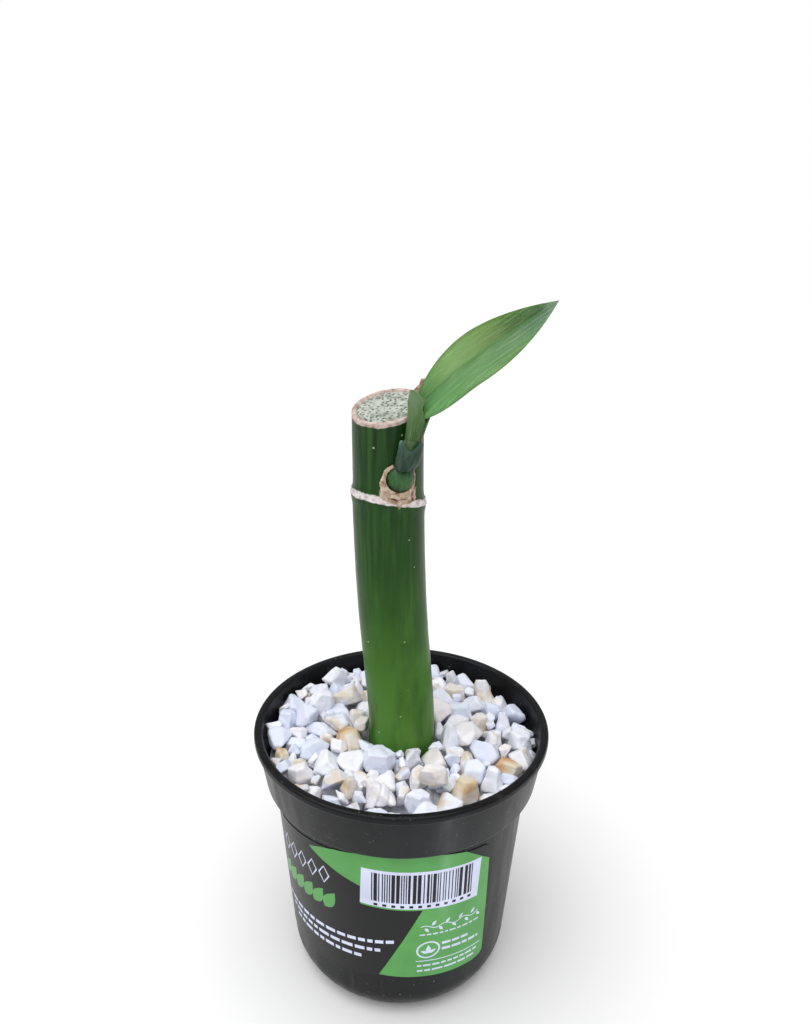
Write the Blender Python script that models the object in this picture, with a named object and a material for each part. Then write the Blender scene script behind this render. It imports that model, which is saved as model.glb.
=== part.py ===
"""Potted lucky bamboo: a rooted cane cutting with one young shoot, set in soil in a small nursery pot
and topped with crushed white stone.

Metres, +Z up. The origin is the centre of the pot's footprint, on the surface it stands on. The front
is -Y, and angles round the pot are measured from the front, positive towards +X.
"""

import math
import random

import bmesh
import bpy
import numpy as np
from mathutils import Matrix, Vector

MM = 0.001
GAP = 0.3 * MM  # clearance between neighbouring pieces

# Pot: injection-moulded, with a rolled lip, a wide collar and a tapered body on four feet
POT_HEIGHT = 82.0 * MM
RIM_RADIUS = 45.0 * MM
LIP_WIDTH = 2.2 * MM
LIP_HEIGHT = 2.2 * MM
LIP_ROUNDING = 0.6 * MM
COLLAR_HEIGHT = 15.8 * MM
LIP_OVERHANG = 1.0 * MM
COLLAR_TAPER = 2.1 * MM
SHOULDER_WIDTH = 2.8 * MM
SHOULDER_DROP = 1.0 * MM
BODY_TAPER = 5.0 * MM
WALL = 0.9 * MM
BASE_ROUNDING = 10.0 * MM
FOOT_HEIGHT = 2.8 * MM
FOOT_RING_WIDTH = 5.0 * MM
FOOT_RISE_RUN = 1.0 * MM
NOTCH_COUNT = 4
NOTCH_ANGLE = 34.0
FIRST_NOTCH = 16.0
NOTCH_DRAFT = 0.9
CENTRE_DRAIN_RADIUS = 3.5 * MM
SIDE_DRAIN_RADIUS = 1.8 * MM
POT_COLUMNS = 44

# Label: a die-cut sticker on the body, whose long edges bow downwards to either side
LABEL_THICKNESS = 0.2 * MM
LABEL_LEFT = -62.0 * MM
LABEL_RIGHT = 28.3 * MM
LABEL_BOTTOM = 17.2 * MM
LABEL_BELOW_SHOULDER = 2.2 * MM
LABEL_BOW_CENTRE = -1.0 * MM
LABEL_BOW = 2.2
LABEL_CORNER = 3.0 * MM
LABEL_COLUMNS = 26

# Soil and the gravel that covers it
GRAVEL_DEPTH = 17.0 * MM
GRAVEL_BELOW_RIM = 4.5 * MM
SOIL_LUMP = 0.8 * MM
BED_BELOW_TOP = 7.9 * MM
BED_STONES = 58
BED_SINK = 3.4 * MM
BED_ROOTING = 0.4 * MM
BED_WALL_STONES = 15
TOP_STONES = 41
STONE_LENGTH = 10.3 * MM
STONE_SPREAD = 0.22

# Cane: one straight piece of stem with a node near each end
CANE_DIAMETER = 20.2 * MM
CANE_NARROWING = 0.5 * MM
CANE_BOTTOM = 26.0 * MM
CANE_ABOVE_RIM = 97.7 * MM
CANE_LEAN = 4.75 * MM
LEAN_HEIGHT = 38.0 * MM
CUT_SLOPE_X = 0.155
CUT_SLOPE_Y = 0.285
NODE_ABOVE_RIM = 72.6 * MM
NODE_SLOPE_X = -0.15
NODE_SLOPE_Y = -0.1
NODE_SWELL = 0.45 * MM
NODE_VALLEY = 0.6
NODE_HALF_HEIGHT = 0.9 * MM
CUT_CHAMFER = 0.2 * MM
LOWER_NODE_HEIGHT = 11.0 * MM
CANE_SIDES = 24
ROOT_COUNT = 4
ROOT_DIAMETER = 2.4 * MM
ROOT_REACH = 17.0 * MM

# Shoot: it breaks from the upper node, to the right of the front, and hugs the cane
SHOOT_ANGLE = 19.0
BASE_DIAMETER = 7.6 * MM
BASE_ABOVE_NODE = 7.6 * MM
BASE_STANDS_OUT = 3.0 * MM
HUSK_THICKNESS = 0.7 * MM
HUSK_WIDTH = 1.0 * MM
HUSK_WIDER_BELOW = 1.3 * MM
HUSK_POINT = 1.2 * MM
STEM_DIAMETER = 4.2 * MM
STEM_TOP_DIAMETER = 2.9 * MM
SCALE_THICKNESS = 0.5 * MM
SCALE_DIAMETER = 6.7 * MM
SHEATH_THICKNESS = 0.5 * MM
SHEATH_OPENING = 70.0
SHEATH_LEAN = -1.5 * MM
SCALE_LEAN = 0.35 * MM
LEAF_LENGTH = 41.1 * MM
LEAF_WIDTH = 12.4 * MM
LEAF_RISE = 37.8
LEAF_BASE_SHARE = 0.07
LEAF_TAPER = 0.85
LEAF_SWAY = 1.28 * MM
LEAF_BOW = 2.0 * MM
LEAF_FOLD = 0.22
LEAF_THICKNESS = 0.5 * MM
LEAF_STATIONS = 16
TIP_LENGTH = 6.4 * MM
TIP_COLUMNS = 3
TIP_NARROWING = 0.6
TIP_THICKNESS = 0.4 * MM

COLLAR_TOP_RADIUS = RIM_RADIUS - LIP_OVERHANG
COLLAR_BOTTOM_RADIUS = COLLAR_TOP_RADIUS - COLLAR_TAPER
BODY_TOP_RADIUS = COLLAR_BOTTOM_RADIUS - SHOULDER_WIDTH
BODY_BOTTOM_RADIUS = BODY_TOP_RADIUS - BODY_TAPER
COLLAR_Z = POT_HEIGHT - COLLAR_HEIGHT
SHOULDER_Z = COLLAR_Z - SHOULDER_DROP
LABEL_TOP = SHOULDER_Z - LABEL_BELOW_SHOULDER
GRAVEL_TOP = POT_HEIGHT - GRAVEL_BELOW_RIM
SOIL_TOP = GRAVEL_TOP - GRAVEL_DEPTH
BED_BOTTOM = SOIL_TOP + SOIL_LUMP + GAP
BED_TOP = GRAVEL_TOP - BED_BELOW_TOP
CANE_RADIUS = CANE_DIAMETER / 2
NODE_Z = POT_HEIGHT + NODE_ABOVE_RIM


def around(angle, radius, z, centre_x=0.0):
    """A point at this angle from the front, in degrees."""
    turn = math.radians(angle)
    return Vector((centre_x + radius * math.sin(turn), -radius * math.cos(turn), z))


def material(name, colour, roughness):
    made = bpy.data.materials.new(name)
    made.use_nodes = True
    shader = made.node_tree.nodes["Principled BSDF"]
    shader.inputs["Base Color"].default_value = (*colour, 1.0)
    shader.inputs["Roughness"].default_value = roughness
    made.diffuse_color = (*colour, 1.0)
    return made


def add_object(name, mesh_data, finish=None, smooth_angle=35.0):
    """Links a bmesh as an object; with no finish it is a cutter or a guide."""
    mesh = bpy.data.meshes.new(name)
    bmesh.ops.recalc_face_normals(mesh_data, faces=mesh_data.faces)
    mesh_data.to_mesh(mesh)
    mesh_data.free()
    obj = bpy.data.objects.new(name, mesh)
    bpy.context.scene.collection.objects.link(obj)
    if finish is None:
        obj.hide_render = True
        obj.display_type = "WIRE"
    else:
        mesh.materials.append(finish)
        mesh.shade_smooth()
        mesh.set_sharp_from_angle(angle=math.radians(smooth_angle))
    return obj


def boolean(obj, operation, other):
    step = obj.modifiers.new(f"{operation}_{other.name}".lower(), "BOOLEAN")
    step.operation = operation
    step.object = other
    step.solver = "EXACT"
    return step


def loft(rings, closed_profile):
    """Joins rings of equal length, each closed on itself. A closed profile joins the last ring to the
    first; an open one ends in a flat or coned cap round the average of its end ring."""
    mesh = bmesh.new()
    made = [[mesh.verts.new(point) for point in ring] for ring in rings]
    pairs = list(zip(made, made[1:] + made[:1])) if closed_profile else list(zip(made, made[1:]))
    for lower, upper in pairs:
        for i in range(len(lower)):
            j = (i + 1) % len(lower)
            mesh.faces.new((lower[i], lower[j], upper[j], upper[i]))
    if not closed_profile:
        for ring in (made[0], made[-1]):
            centre = mesh.verts.new(sum((v.co for v in ring), Vector()) / len(ring))
            for i in range(len(ring)):
                mesh.faces.new((ring[i], ring[(i + 1) % len(ring)], centre))
    return mesh


def sheet(grid, thickness, ring=False):
    """A closed skin of the given thickness on a grid of mid-surface points; a ring joins its first
    and last rows. Thickness is one value, or one for each point."""
    points = np.array([[tuple(p) for p in row] for row in grid])
    half = np.broadcast_to(np.asarray(thickness, float), points.shape[:2])[..., None] / 2
    along = np.roll(points, -1, 0) - np.roll(points, 1, 0) if ring else np.gradient(points, axis=0)
    normal = np.cross(along, np.gradient(points, axis=1))
    normal /= np.linalg.norm(normal, axis=2, keepdims=True)
    mesh = bmesh.new()
    sides = []
    for offset in (half, -half):
        sides.append([[mesh.verts.new(p) for p in row] for row in points + normal * offset])
    rows, columns = points.shape[:2]
    for i in range(rows if ring else rows - 1):
        k = (i + 1) % rows
        for j in range(columns - 1):
            for side in sides:
                mesh.faces.new((side[i][j], side[k][j], side[k][j + 1], side[i][j + 1]))
        for j in (0, columns - 1):
            mesh.faces.new((sides[0][i][j], sides[0][k][j], sides[1][k][j], sides[1][i][j]))
    if not ring:
        for i in (0, rows - 1):
            for j in range(columns - 1):
                mesh.faces.new((sides[0][i][j], sides[0][i][j + 1], sides[1][i][j + 1], sides[1][i][j]))
    return mesh


def smooth_curve(points, count):
    """Evenly spread points on a smooth curve through the given ones (Catmull-Rom)."""
    knots = [2 * points[0] - points[1], *points, 2 * points[-1] - points[-2]]
    result = []
    for step in range(count):
        place = step / (count - 1) * (len(points) - 1)
        i = min(int(place), len(points) - 2)
        t = place - i
        a, b, c, d = knots[i : i + 4]
        square, cube = 2 * a - 5 * b + 4 * c - d, 3 * b - a - 3 * c + d
        result.append((2 * b + (c - a) * t + square * t**2 + cube * t**3) / 2)
    return result


def tube_rings(path, radii, sides, flatten=1.0):
    """Rings square to a path. flatten under 1 thins the section across the X axis."""
    rings = []
    for i, (centre, radius) in enumerate(zip(path, radii)):
        ahead = (path[min(i + 1, len(path) - 1)] - path[max(i - 1, 0)]).normalized()
        across = Vector((1, 0, 0)) - ahead * ahead.x
        across.normalize()
        out = ahead.cross(across)
        ring = []
        for k in range(sides):
            turn = 2 * math.pi * k / sides
            ring.append(centre + across * radius * math.cos(turn) + out * radius * flatten * math.sin(turn))
        rings.append(ring)
    return rings


# ---------------------------------------------------------------- pot


def body_radius(z):
    """Outside radius of the tapered body, as if it ran down to the floor without its rounding."""
    return BODY_BOTTOM_RADIUS + (BODY_TOP_RADIUS - BODY_BOTTOM_RADIUS) * z / SHOULDER_Z


def foot_inner_radius():
    return body_radius(BASE_ROUNDING) - BASE_ROUNDING - FOOT_RING_WIDTH


def notch_half(wider):
    """Half a notch's angle, with each of its sides moved out by this much at the foot ring."""
    return NOTCH_ANGLE / 2 + math.degrees(wider / (foot_inner_radius() + FOOT_RING_WIDTH / 2))


def in_notch(angle, wider):
    pitch = 360.0 / NOTCH_COUNT
    return abs((angle - FIRST_NOTCH + pitch / 2) % pitch - pitch / 2) < notch_half(wider)


def column_angles(wideners):
    """Even steps round the pot, and a close pair of columns at each side of each notch, for notches
    moved out by each of these amounts."""
    edges = [
        FIRST_NOTCH + 360.0 / NOTCH_COUNT * k + side * notch_half(wider)
        for k in range(NOTCH_COUNT)
        for side in (-1, 1)
        for wider in wideners
    ]
    step = 360.0 / POT_COLUMNS

    def clear(angle):
        return all(abs((angle - edge + 180) % 360 - 180) > step / 4 for edge in edges)

    even = [step * k for k in range(POT_COLUMNS) if clear(step * k)]
    return sorted(even + [(e + side * NOTCH_DRAFT / 2) % 360 for e in edges for side in (-1, 1)])


def base_arc(inset, steps):
    """Points of the rounded base corner, from the foot ring up, moved in by an inset."""
    radius = BASE_ROUNDING - inset
    centre_r = body_radius(BASE_ROUNDING) - BASE_ROUNDING
    turns = [math.pi / 2 * k / steps for k in range(steps + 1)]
    return [(centre_r + radius * math.sin(t), BASE_ROUNDING - radius * math.cos(t)) for t in turns]


def inside_profile(inset):
    """The pot's inside surface from the centre drain to the lip, moved in by an inset."""
    foot = foot_inner_radius()
    floor = FOOT_HEIGHT + WALL + inset
    return [
        (CENTRE_DRAIN_RADIUS, floor),
        (foot - FOOT_RISE_RUN + WALL + inset, floor),
        (foot + WALL + inset, WALL + inset),
        *base_arc(WALL + inset, 4),
        (BODY_TOP_RADIUS - WALL - inset, SHOULDER_Z + WALL + inset),
        (COLLAR_BOTTOM_RADIUS - WALL - inset, COLLAR_Z + WALL + inset),
        (RIM_RADIUS - LIP_WIDTH - inset, POT_HEIGHT - LIP_ROUNDING),
    ]


def outside_profile():
    """The pot's outside surface from the lip's inner edge to the centre drain."""
    foot = foot_inner_radius()
    return [
        (RIM_RADIUS - LIP_WIDTH + LIP_ROUNDING, POT_HEIGHT),
        (RIM_RADIUS - LIP_ROUNDING, POT_HEIGHT),
        (RIM_RADIUS, POT_HEIGHT - LIP_ROUNDING),
        (RIM_RADIUS, POT_HEIGHT - LIP_HEIGHT),
        (COLLAR_TOP_RADIUS, POT_HEIGHT - LIP_HEIGHT - LIP_ROUNDING),
        (COLLAR_BOTTOM_RADIUS, COLLAR_Z),
        (BODY_TOP_RADIUS, SHOULDER_Z),
        *reversed(base_arc(0.0, 5)),
        (foot, 0.0),
        (foot - FOOT_RISE_RUN, FOOT_HEIGHT),
        (CENTRE_DRAIN_RADIUS, FOOT_HEIGHT),
    ]


def lifted_columns(profile, floor, angles, wider):
    """The profile turned round the axis, with its foot lifted to the floor height in each notch."""
    columns = []
    for angle in angles:
        lowest = floor if in_notch(angle, wider) else 0.0
        columns.append([around(angle, r, max(z, lowest)) for r, z in profile])
    return columns


def make_pot():
    angles = column_angles((0.0, WALL))
    outside_columns = lifted_columns(outside_profile(), FOOT_HEIGHT, angles, 0.0)
    inside_columns = lifted_columns(inside_profile(0.0), FOOT_HEIGHT + WALL, angles, WALL)
    columns = [out + inner for out, inner in zip(outside_columns, inside_columns)]
    plastic = material("black_polypropylene", (0.012, 0.012, 0.013), 0.38)
    pot = add_object("pot", loft(columns, True), plastic)
    drains = bmesh.new()
    drain_ring = foot_inner_radius() + FOOT_RING_WIDTH / 2
    for k in range(NOTCH_COUNT):
        place = around(FIRST_NOTCH + 360.0 / NOTCH_COUNT * k, drain_ring, FOOT_HEIGHT + WALL / 2)
        bmesh.ops.create_cone(
            drains,
            cap_ends=True,
            segments=12,
            radius1=SIDE_DRAIN_RADIUS,
            radius2=SIDE_DRAIN_RADIUS,
            depth=WALL + 2 * FOOT_HEIGHT,
            matrix=Matrix.Translation(place),
        )
    boolean(pot, "DIFFERENCE", add_object("drain_cutter", drains))


def make_label():
    """The sticker, with rounded corners, wrapped on the body with a clearance."""
    height = LABEL_TOP - LABEL_BOTTOM
    ends = [0.0, 0.15, 0.5, 1.0]
    left = [LABEL_LEFT + LABEL_CORNER * e for e in ends]
    right = [LABEL_RIGHT - LABEL_CORNER * e for e in reversed(ends)]
    middle = np.linspace(left[-1], right[0], LABEL_COLUMNS)[1:-1]
    rows = []
    for s in [*left, *middle, *right]:
        from_end = min(s - LABEL_LEFT, LABEL_RIGHT - s, LABEL_CORNER)
        cut = LABEL_CORNER - math.sqrt(LABEL_CORNER**2 - (LABEL_CORNER - from_end) ** 2)
        row = []
        for share in (0.0, 0.5, 1.0):
            t = LABEL_BOTTOM + cut + (height - 2 * cut) * share
            z = t - LABEL_BOW * (s - LABEL_BOW_CENTRE) ** 2
            radius = body_radius(z) + GAP + LABEL_THICKNESS / 2
            row.append(around(math.degrees(s / body_radius(z)), radius, z))
        rows.append(row)
    add_object("label", sheet(rows, LABEL_THICKNESS), material("printed_film", (0.03, 0.2, 0.035), 0.3))


# ---------------------------------------------------------------- cane and roots


def cane_centre(z):
    """The cane's axis: upright in the soil, then leaning gently to the left."""
    above = max(0.0, z - POT_HEIGHT)
    return -CANE_LEAN * (1 - math.exp(-((above / LEAN_HEIGHT) ** 1.5)))


def cane_rings(clearance):
    """Sections of the cane; each is level in the stem, and follows its node or its cut where it meets one.
    The node is a pair of low ridges, and the cut edge is broken by a small chamfer."""
    node = NODE_HALF_HEIGHT
    lower_node = CANE_BOTTOM + LOWER_NODE_HEIGHT
    top = POT_HEIGHT + CANE_ABOVE_RIM
    top_radius = CANE_RADIUS - CANE_NARROWING / 2
    level, at_node, at_cut = (0.0, 0.0), (NODE_SLOPE_X, NODE_SLOPE_Y), (CUT_SLOPE_X, CUT_SLOPE_Y)
    stations = [
        (CANE_BOTTOM - clearance, CANE_RADIUS, level),
        (lower_node - 2 * node, CANE_RADIUS, level),
        (lower_node, CANE_RADIUS + NODE_SWELL, level),
        (lower_node + 2 * node, CANE_RADIUS, level),
        (SOIL_TOP, CANE_RADIUS, level),
        (POT_HEIGHT, CANE_RADIUS, level),
        (POT_HEIGHT + NODE_ABOVE_RIM * 0.3, CANE_RADIUS, level),
        (POT_HEIGHT + NODE_ABOVE_RIM * 0.6, CANE_RADIUS, level),
        (NODE_Z - 4 * node, CANE_RADIUS, at_node),
        (NODE_Z - node, CANE_RADIUS + NODE_SWELL, at_node),
        (NODE_Z, CANE_RADIUS + NODE_VALLEY * NODE_SWELL, at_node),
        (NODE_Z + node, CANE_RADIUS + NODE_SWELL, at_node),
        (NODE_Z + 2 * node, top_radius, at_node),
        (top - CUT_CHAMFER * 10, top_radius, at_cut),
        (top - CUT_CHAMFER, top_radius, at_cut),
        (top + clearance, top_radius - CUT_CHAMFER, at_cut),
    ]
    rings = []
    for z, radius, (slope_x, slope_y) in stations:
        ring = []
        for k in range(CANE_SIDES):
            turn = 2 * math.pi * k / CANE_SIDES
            x, y = (radius + clearance) * math.cos(turn), (radius + clearance) * math.sin(turn)
            ring.append(Vector((cane_centre(z) + x, y, z + slope_x * x + slope_y * y)))
        rings.append(ring)
    return rings


def root_path(index):
    """A root leaves the cane below its lower node, bends down and spreads in the soil."""
    angle = 360.0 / ROOT_COUNT * (index + 0.4)
    start_z = CANE_BOTTOM + LOWER_NODE_HEIGHT * 0.5
    reach = min(ROOT_REACH, body_radius(0) - BASE_ROUNDING / 2 - CANE_RADIUS - ROOT_DIAMETER)
    end_z = FOOT_HEIGHT + WALL + 3 * ROOT_DIAMETER
    points = [
        around(angle, CANE_RADIUS + 2 * GAP, start_z),
        around(angle + 4, CANE_RADIUS + reach * 0.4, start_z - 0.1 * (start_z - end_z)),
        around(angle - 5, CANE_RADIUS + reach * 0.8, start_z - 0.5 * (start_z - end_z)),
        around(angle + 6, CANE_RADIUS + reach, end_z),
    ]
    return smooth_curve(points, 8)


def root_rings(index, clearance):
    """Sections of a root, or of its clearance, which reaches further at both ends."""
    path = root_path(index)
    if clearance:
        path[0] = path[0] + (path[0] - path[1]).normalized() * 3 * GAP
        path[-1] = path[-1] + (path[-1] - path[-2]).normalized() * clearance
    radii = [(ROOT_DIAMETER / 2) * (1 - 0.55 * k / (len(path) - 1)) + clearance for k in range(len(path))]
    return tube_rings(path, radii, 7)


def make_cane():
    """Returns the cutter that leaves the clearance in whatever surrounds the cane."""
    add_object("cane", loft(cane_rings(0.0), False), material("cane_skin", (0.035, 0.12, 0.018), 0.35))
    root_finish = material("root_skin", (0.42, 0.16, 0.05), 0.6)
    for index in range(ROOT_COUNT):
        add_object(f"root_{index + 1}", loft(root_rings(index, 0.0), False), root_finish)
    return add_object("cane_clearance", loft(cane_rings(GAP), False))


# ---------------------------------------------------------------- soil and gravel


def make_soil(cane_clearance):
    """Fills the pot from its floor to the gravel, with a lumpy top."""
    lumps = random.Random(5)
    inside = [(r, z) for r, z in inside_profile(GAP) if z < SOIL_TOP][1:]
    wall_radius = body_radius(SOIL_TOP) - WALL - GAP
    rings = []
    floor = FOOT_HEIGHT + WALL + GAP
    angles = column_angles((WALL + GAP,))
    profile = [(inside[0][0] / 2, floor), *inside, (wall_radius, SOIL_TOP)]
    turned = lifted_columns(profile, floor, angles, WALL + GAP)
    for k in range(len(profile)):
        rings.append([column[k] for column in turned])
    for share in (0.75, 0.45):
        ring = []
        for angle in angles:
            ring.append(around(angle, wall_radius * share, SOIL_TOP + lumps.uniform(-1, 1) * SOIL_LUMP))
        rings.append(ring)
    soil = add_object("soil", loft(rings, False), material("peat_soil", (0.03, 0.018, 0.01), 0.95))
    boolean(soil, "DIFFERENCE", cane_clearance)
    for index in range(ROOT_COUNT):
        cutter = add_object(f"root_clearance_{index + 1}", loft(root_rings(index, GAP), False))
        boolean(soil, "DIFFERENCE", cutter)


def stone(draw, length, width, height, taper):
    """A crushed stone: the hull of a wide jittered outline and a smaller one above it."""
    mesh = bmesh.new()
    corners = draw.randint(4, 6)
    lead = draw.uniform(0, 2 * math.pi)
    for level, size in ((-0.5, 1.0), (0.5, taper)):
        for k in range(corners):
            turn = lead + 2 * math.pi * (k + draw.uniform(-0.25, 0.25)) / corners
            reach = 0.5 * size * draw.uniform(0.8, 1.1)
            z = height * (level + draw.uniform(-0.12, 0.12))
            mesh.verts.new((length * reach * math.cos(turn), width * reach * math.sin(turn), z))
    hull = bmesh.ops.convex_hull(mesh, input=mesh.verts)
    inner = [v for v in hull["geom_interior"] + hull["geom_unused"] if isinstance(v, bmesh.types.BMVert)]
    bmesh.ops.delete(mesh, geom=list(set(inner)), context="VERTS")
    return mesh


def random_stone(draw):
    """A stone of any of the usual shapes, turned and tilted as it came to lie."""
    length = STONE_LENGTH * draw.uniform(1 - STONE_SPREAD, 1 + STONE_SPREAD)
    width = length * draw.uniform(0.6, 0.85)
    height = length * draw.uniform(0.38, 0.6)
    made = stone(draw, length, width, height, draw.uniform(0.5, 0.95))
    tilt = Matrix.Rotation(math.radians(draw.gauss(0, 20)), 4, "X")
    turn = Matrix.Rotation(draw.uniform(0, 2 * math.pi), 4, "Z")
    bmesh.ops.transform(made, matrix=turn @ tilt, verts=made.verts)
    return made


# Stones that stand out at the surface: place in hundredths of the rim radius, size in mm (length, width,
# height), taper, and turn and tilt in degrees. They are laid first.
SURFACE_STONES = [
    ((-14, -34), (11.0, 9.0, 7.0), 0.9, 0, 8),
    ((8, -34), (12.0, 6.5, 7.5), 0.35, 40, -12),
    ((-46, -37), (15.0, 10.0, 7.0), 0.35, 95, 42),
    ((-68, -11), (10.5, 9.0, 5.5), 0.7, 170, 10),
    ((-82, 12), (10.5, 8.5, 6.0), 0.6, 80, 15),
    ((-56, 28), (12.0, 9.5, 6.0), 0.55, 20, 25),
    ((-40, -9), (14.5, 9.0, 5.5), 0.6, 130, 15),
    ((-47, 68), (12.0, 7.5, 6.5), 0.5, 35, 40),
    ((-16, -63), (14.0, 10.0, 6.0), 0.5, 115, 25),
    ((41, -60), (11.0, 9.5, 6.5), 0.7, 60, 12),
    ((31, -8), (9.5, 8.5, 7.0), 0.4, 80, 15),
    ((44, -30), (12.0, 7.0, 6.0), 0.45, 85, 30),
    ((73, -38), (11.0, 9.0, 6.0), 0.7, 10, 12),
    ((86, -7), (10.5, 8.5, 5.5), 0.75, 60, 10),
    ((41, 26), (13.0, 8.5, 6.0), 0.65, 0, 5),
    ((62, 50), (10.0, 8.5, 8.0), 0.5, 130, 20),
    ((33, 74), (8.0, 6.0, 8.0), 0.4, 160, 20),
    ((11, -70), (9.5, 6.5, 6.0), 0.8, 5, 10),
    ((-59, 61), (9.0, 4.5, 5.5), 0.7, 50, 60),
    ((-73, 33), (10.0, 8.0, 6.0), 0.5, 30, 20),
    ((-29, 56), (10.0, 8.0, 8.0), 0.4, 70, 30),
    ((-87, -16), (9.0, 7.0, 5.5), 0.6, 110, 10),
    ((-80, -33), (7.5, 5.5, 5.0), 0.7, 60, 20),
    ((54, 10), (9.0, 8.0, 6.5), 0.7, 40, 10),
    ((68, -11), (9.5, 8.0, 6.0), 0.5, 80, 15),
    ((40, 54), (11.0, 8.0, 5.5), 0.8, 10, 5),
    ((-54, -63), (10.0, 7.5, 5.0), 0.6, 150, 10),
    ((-37, -64), (9.0, 7.0, 5.0), 0.4, 30, 12),
    ((-1, -57), (11.0, 7.0, 5.5), 0.6, 70, 15),
    ((19, -56), (10.0, 7.0, 5.5), 0.8, 165, 8),
    ((70, 11), (9.0, 7.5, 6.5), 0.5, 100, 20),
    ((64, 29), (11.0, 7.5, 5.5), 0.6, 10, 8),
    ((56, -48), (9.0, 8.0, 6.0), 0.6, 100, 15),
    ((-32, 14), (9.0, 8.0, 6.5), 0.7, 60, 12),
]


def surface_stone(draw, size, taper, turn_by, tilt_by):
    made = stone(draw, *(side * MM for side in size), taper)
    tilt = Matrix.Rotation(math.radians(tilt_by), 4, "Y")
    turn = Matrix.Rotation(math.radians(turn_by), 4, "Z")
    bmesh.ops.transform(made, matrix=turn @ tilt, verts=made.verts)
    return made


CELL = 0.4 * MM
SEARCH_STEP = 5
STRAY_COST = 0.5
REACH_CELLS = int(RIM_RADIUS / CELL) + 1
AXIS = (np.arange(2 * REACH_CELLS + 1) - REACH_CELLS) * CELL


def inside_radius(z, inset):
    """How far the pot's inside surface, moved in by an inset, is from the axis at this height."""
    profile = inside_profile(inset)
    return float(np.interp(z, [height for _, height in profile], [radius for radius, _ in profile]))


def bed_profile():
    """The gravel bed's outer side: it follows the pot's inside, with a clearance, up to the bed's top."""
    middle = [(r, z) for r, z in inside_profile(GAP) if BED_BOTTOM < z < BED_TOP]
    return [(inside_radius(BED_BOTTOM, GAP), BED_BOTTOM), *middle, (inside_radius(BED_TOP, GAP), BED_TOP)]


def bed_edge():
    """How far from the axis the foot of a bed stone may reach."""
    return inside_radius(BED_TOP - BED_ROOTING, GAP) - GAP


def wall_height(radius):
    """How high the pot's inside surface stands at this distance from the axis, above the bed."""
    inside = [(bed_edge(), BED_TOP)]
    inside += [(r - GAP, z) for r, z in inside_profile(0.0) if z > BED_TOP]
    return np.interp(radius, [r for r, _ in inside], [z for _, z in inside], right=1.0)


def empty_heights():
    """The height map that stones are dropped on: the bed, the pot's wall, and the cane as a tall post."""
    x, y = np.meshgrid(AXIS, AXIS, indexing="ij")
    heights = wall_height(np.hypot(x, y))
    post = CANE_RADIUS + 2 * GAP
    heights[np.hypot(x - cane_centre(POT_HEIGHT), y) < post] = 1.0
    return heights


def envelope(mesh, grow):
    """The stone's lower and upper surfaces on a patch of cells round its centre, grown by a margin."""
    planes = [(f.normal.copy(), f.normal.dot(f.verts[0].co) + grow) for f in mesh.faces]
    half = int(max(v.co.xy.length for v in mesh.verts) / CELL) + 2
    place = (np.arange(2 * half + 1) - half) * CELL
    x, y = np.meshgrid(place, place, indexing="ij")
    lower, upper = np.full(x.shape, -1.0), np.full(x.shape, 1.0)
    for normal, offset in planes:
        if abs(normal.z) < 1e-4:
            outside = normal.x * x + normal.y * y > offset
            lower[outside] = 1.0
            continue
        z = (offset - normal.x * x - normal.y * y) / normal.z
        if normal.z > 0:
            upper = np.minimum(upper, z)
        else:
            lower = np.maximum(lower, z)
    return half, lower, upper, lower <= upper


def spread(heights):
    """The map with each cell raised to its highest neighbour, two cells round, so that no corner or
    slope between cells is missed."""
    for axis in (0, 1, 0, 1):
        heights = np.maximum(heights, np.maximum(np.roll(heights, 1, axis), np.roll(heights, -1, axis)))
    return heights


def drop(heights, shape, row, column):
    """The height at which a stone comes to rest with its centre on this cell."""
    half, lower, _, inside = shape
    patch = heights[row - half : row + half + 1, column - half : column + half + 1]
    return np.max(patch[inside] - lower[inside])


def nearest_place(heights, shape, at_x, at_y):
    """Where the stone comes to rest lowest near a wanted place. Each millimetre away from it counts as
    much as STRAY_COST millimetres of height."""
    half = shape[0]
    best = (math.inf, 0, 0, 0.0)
    rows = columns = range(half, len(AXIS) - half, SEARCH_STEP)
    for step in (SEARCH_STEP, 1):
        for row in rows:
            for column in columns:
                z = drop(heights, shape, row, column)
                cost = z + STRAY_COST * math.hypot(AXIS[row] - at_x, AXIS[column] - at_y)
                if cost < best[0]:
                    best = (cost, row, column, z)
        _, row, column, z = best
        rows = range(max(half, row - step), min(len(AXIS) - half, row + step + 1))
        columns = range(max(half, column - step), min(len(AXIS) - half, column + step + 1))
    return z, row, column


def lowest_place(heights, shape, draw):
    """The cell where the stone comes to rest lowest, of a spread of cells all over the pot."""
    half = shape[0]
    best = None
    for row in range(half, len(AXIS) - half, SEARCH_STEP):
        for column in range(half, len(AXIS) - half, SEARCH_STEP):
            if math.hypot(AXIS[row], AXIS[column]) > RIM_RADIUS - LIP_WIDTH - STONE_LENGTH / 4:
                continue
            z = drop(heights, shape, row, column) + draw.uniform(0, GAP)
            if best is None or z < best[0]:
                best = (z, row, column)
    return best


def settle(heights, mesh, row, column, z, grow):
    """Moves the stone to its place and adds it to the map."""
    half, _, upper, inside = envelope(mesh, grow)
    patch = heights[row - half : row + half + 1, column - half : column + half + 1]
    patch[inside] = np.maximum(patch[inside], (upper + z)[inside])
    bmesh.ops.translate(mesh, vec=(AXIS[row], AXIS[column], z), verts=mesh.verts)


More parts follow.
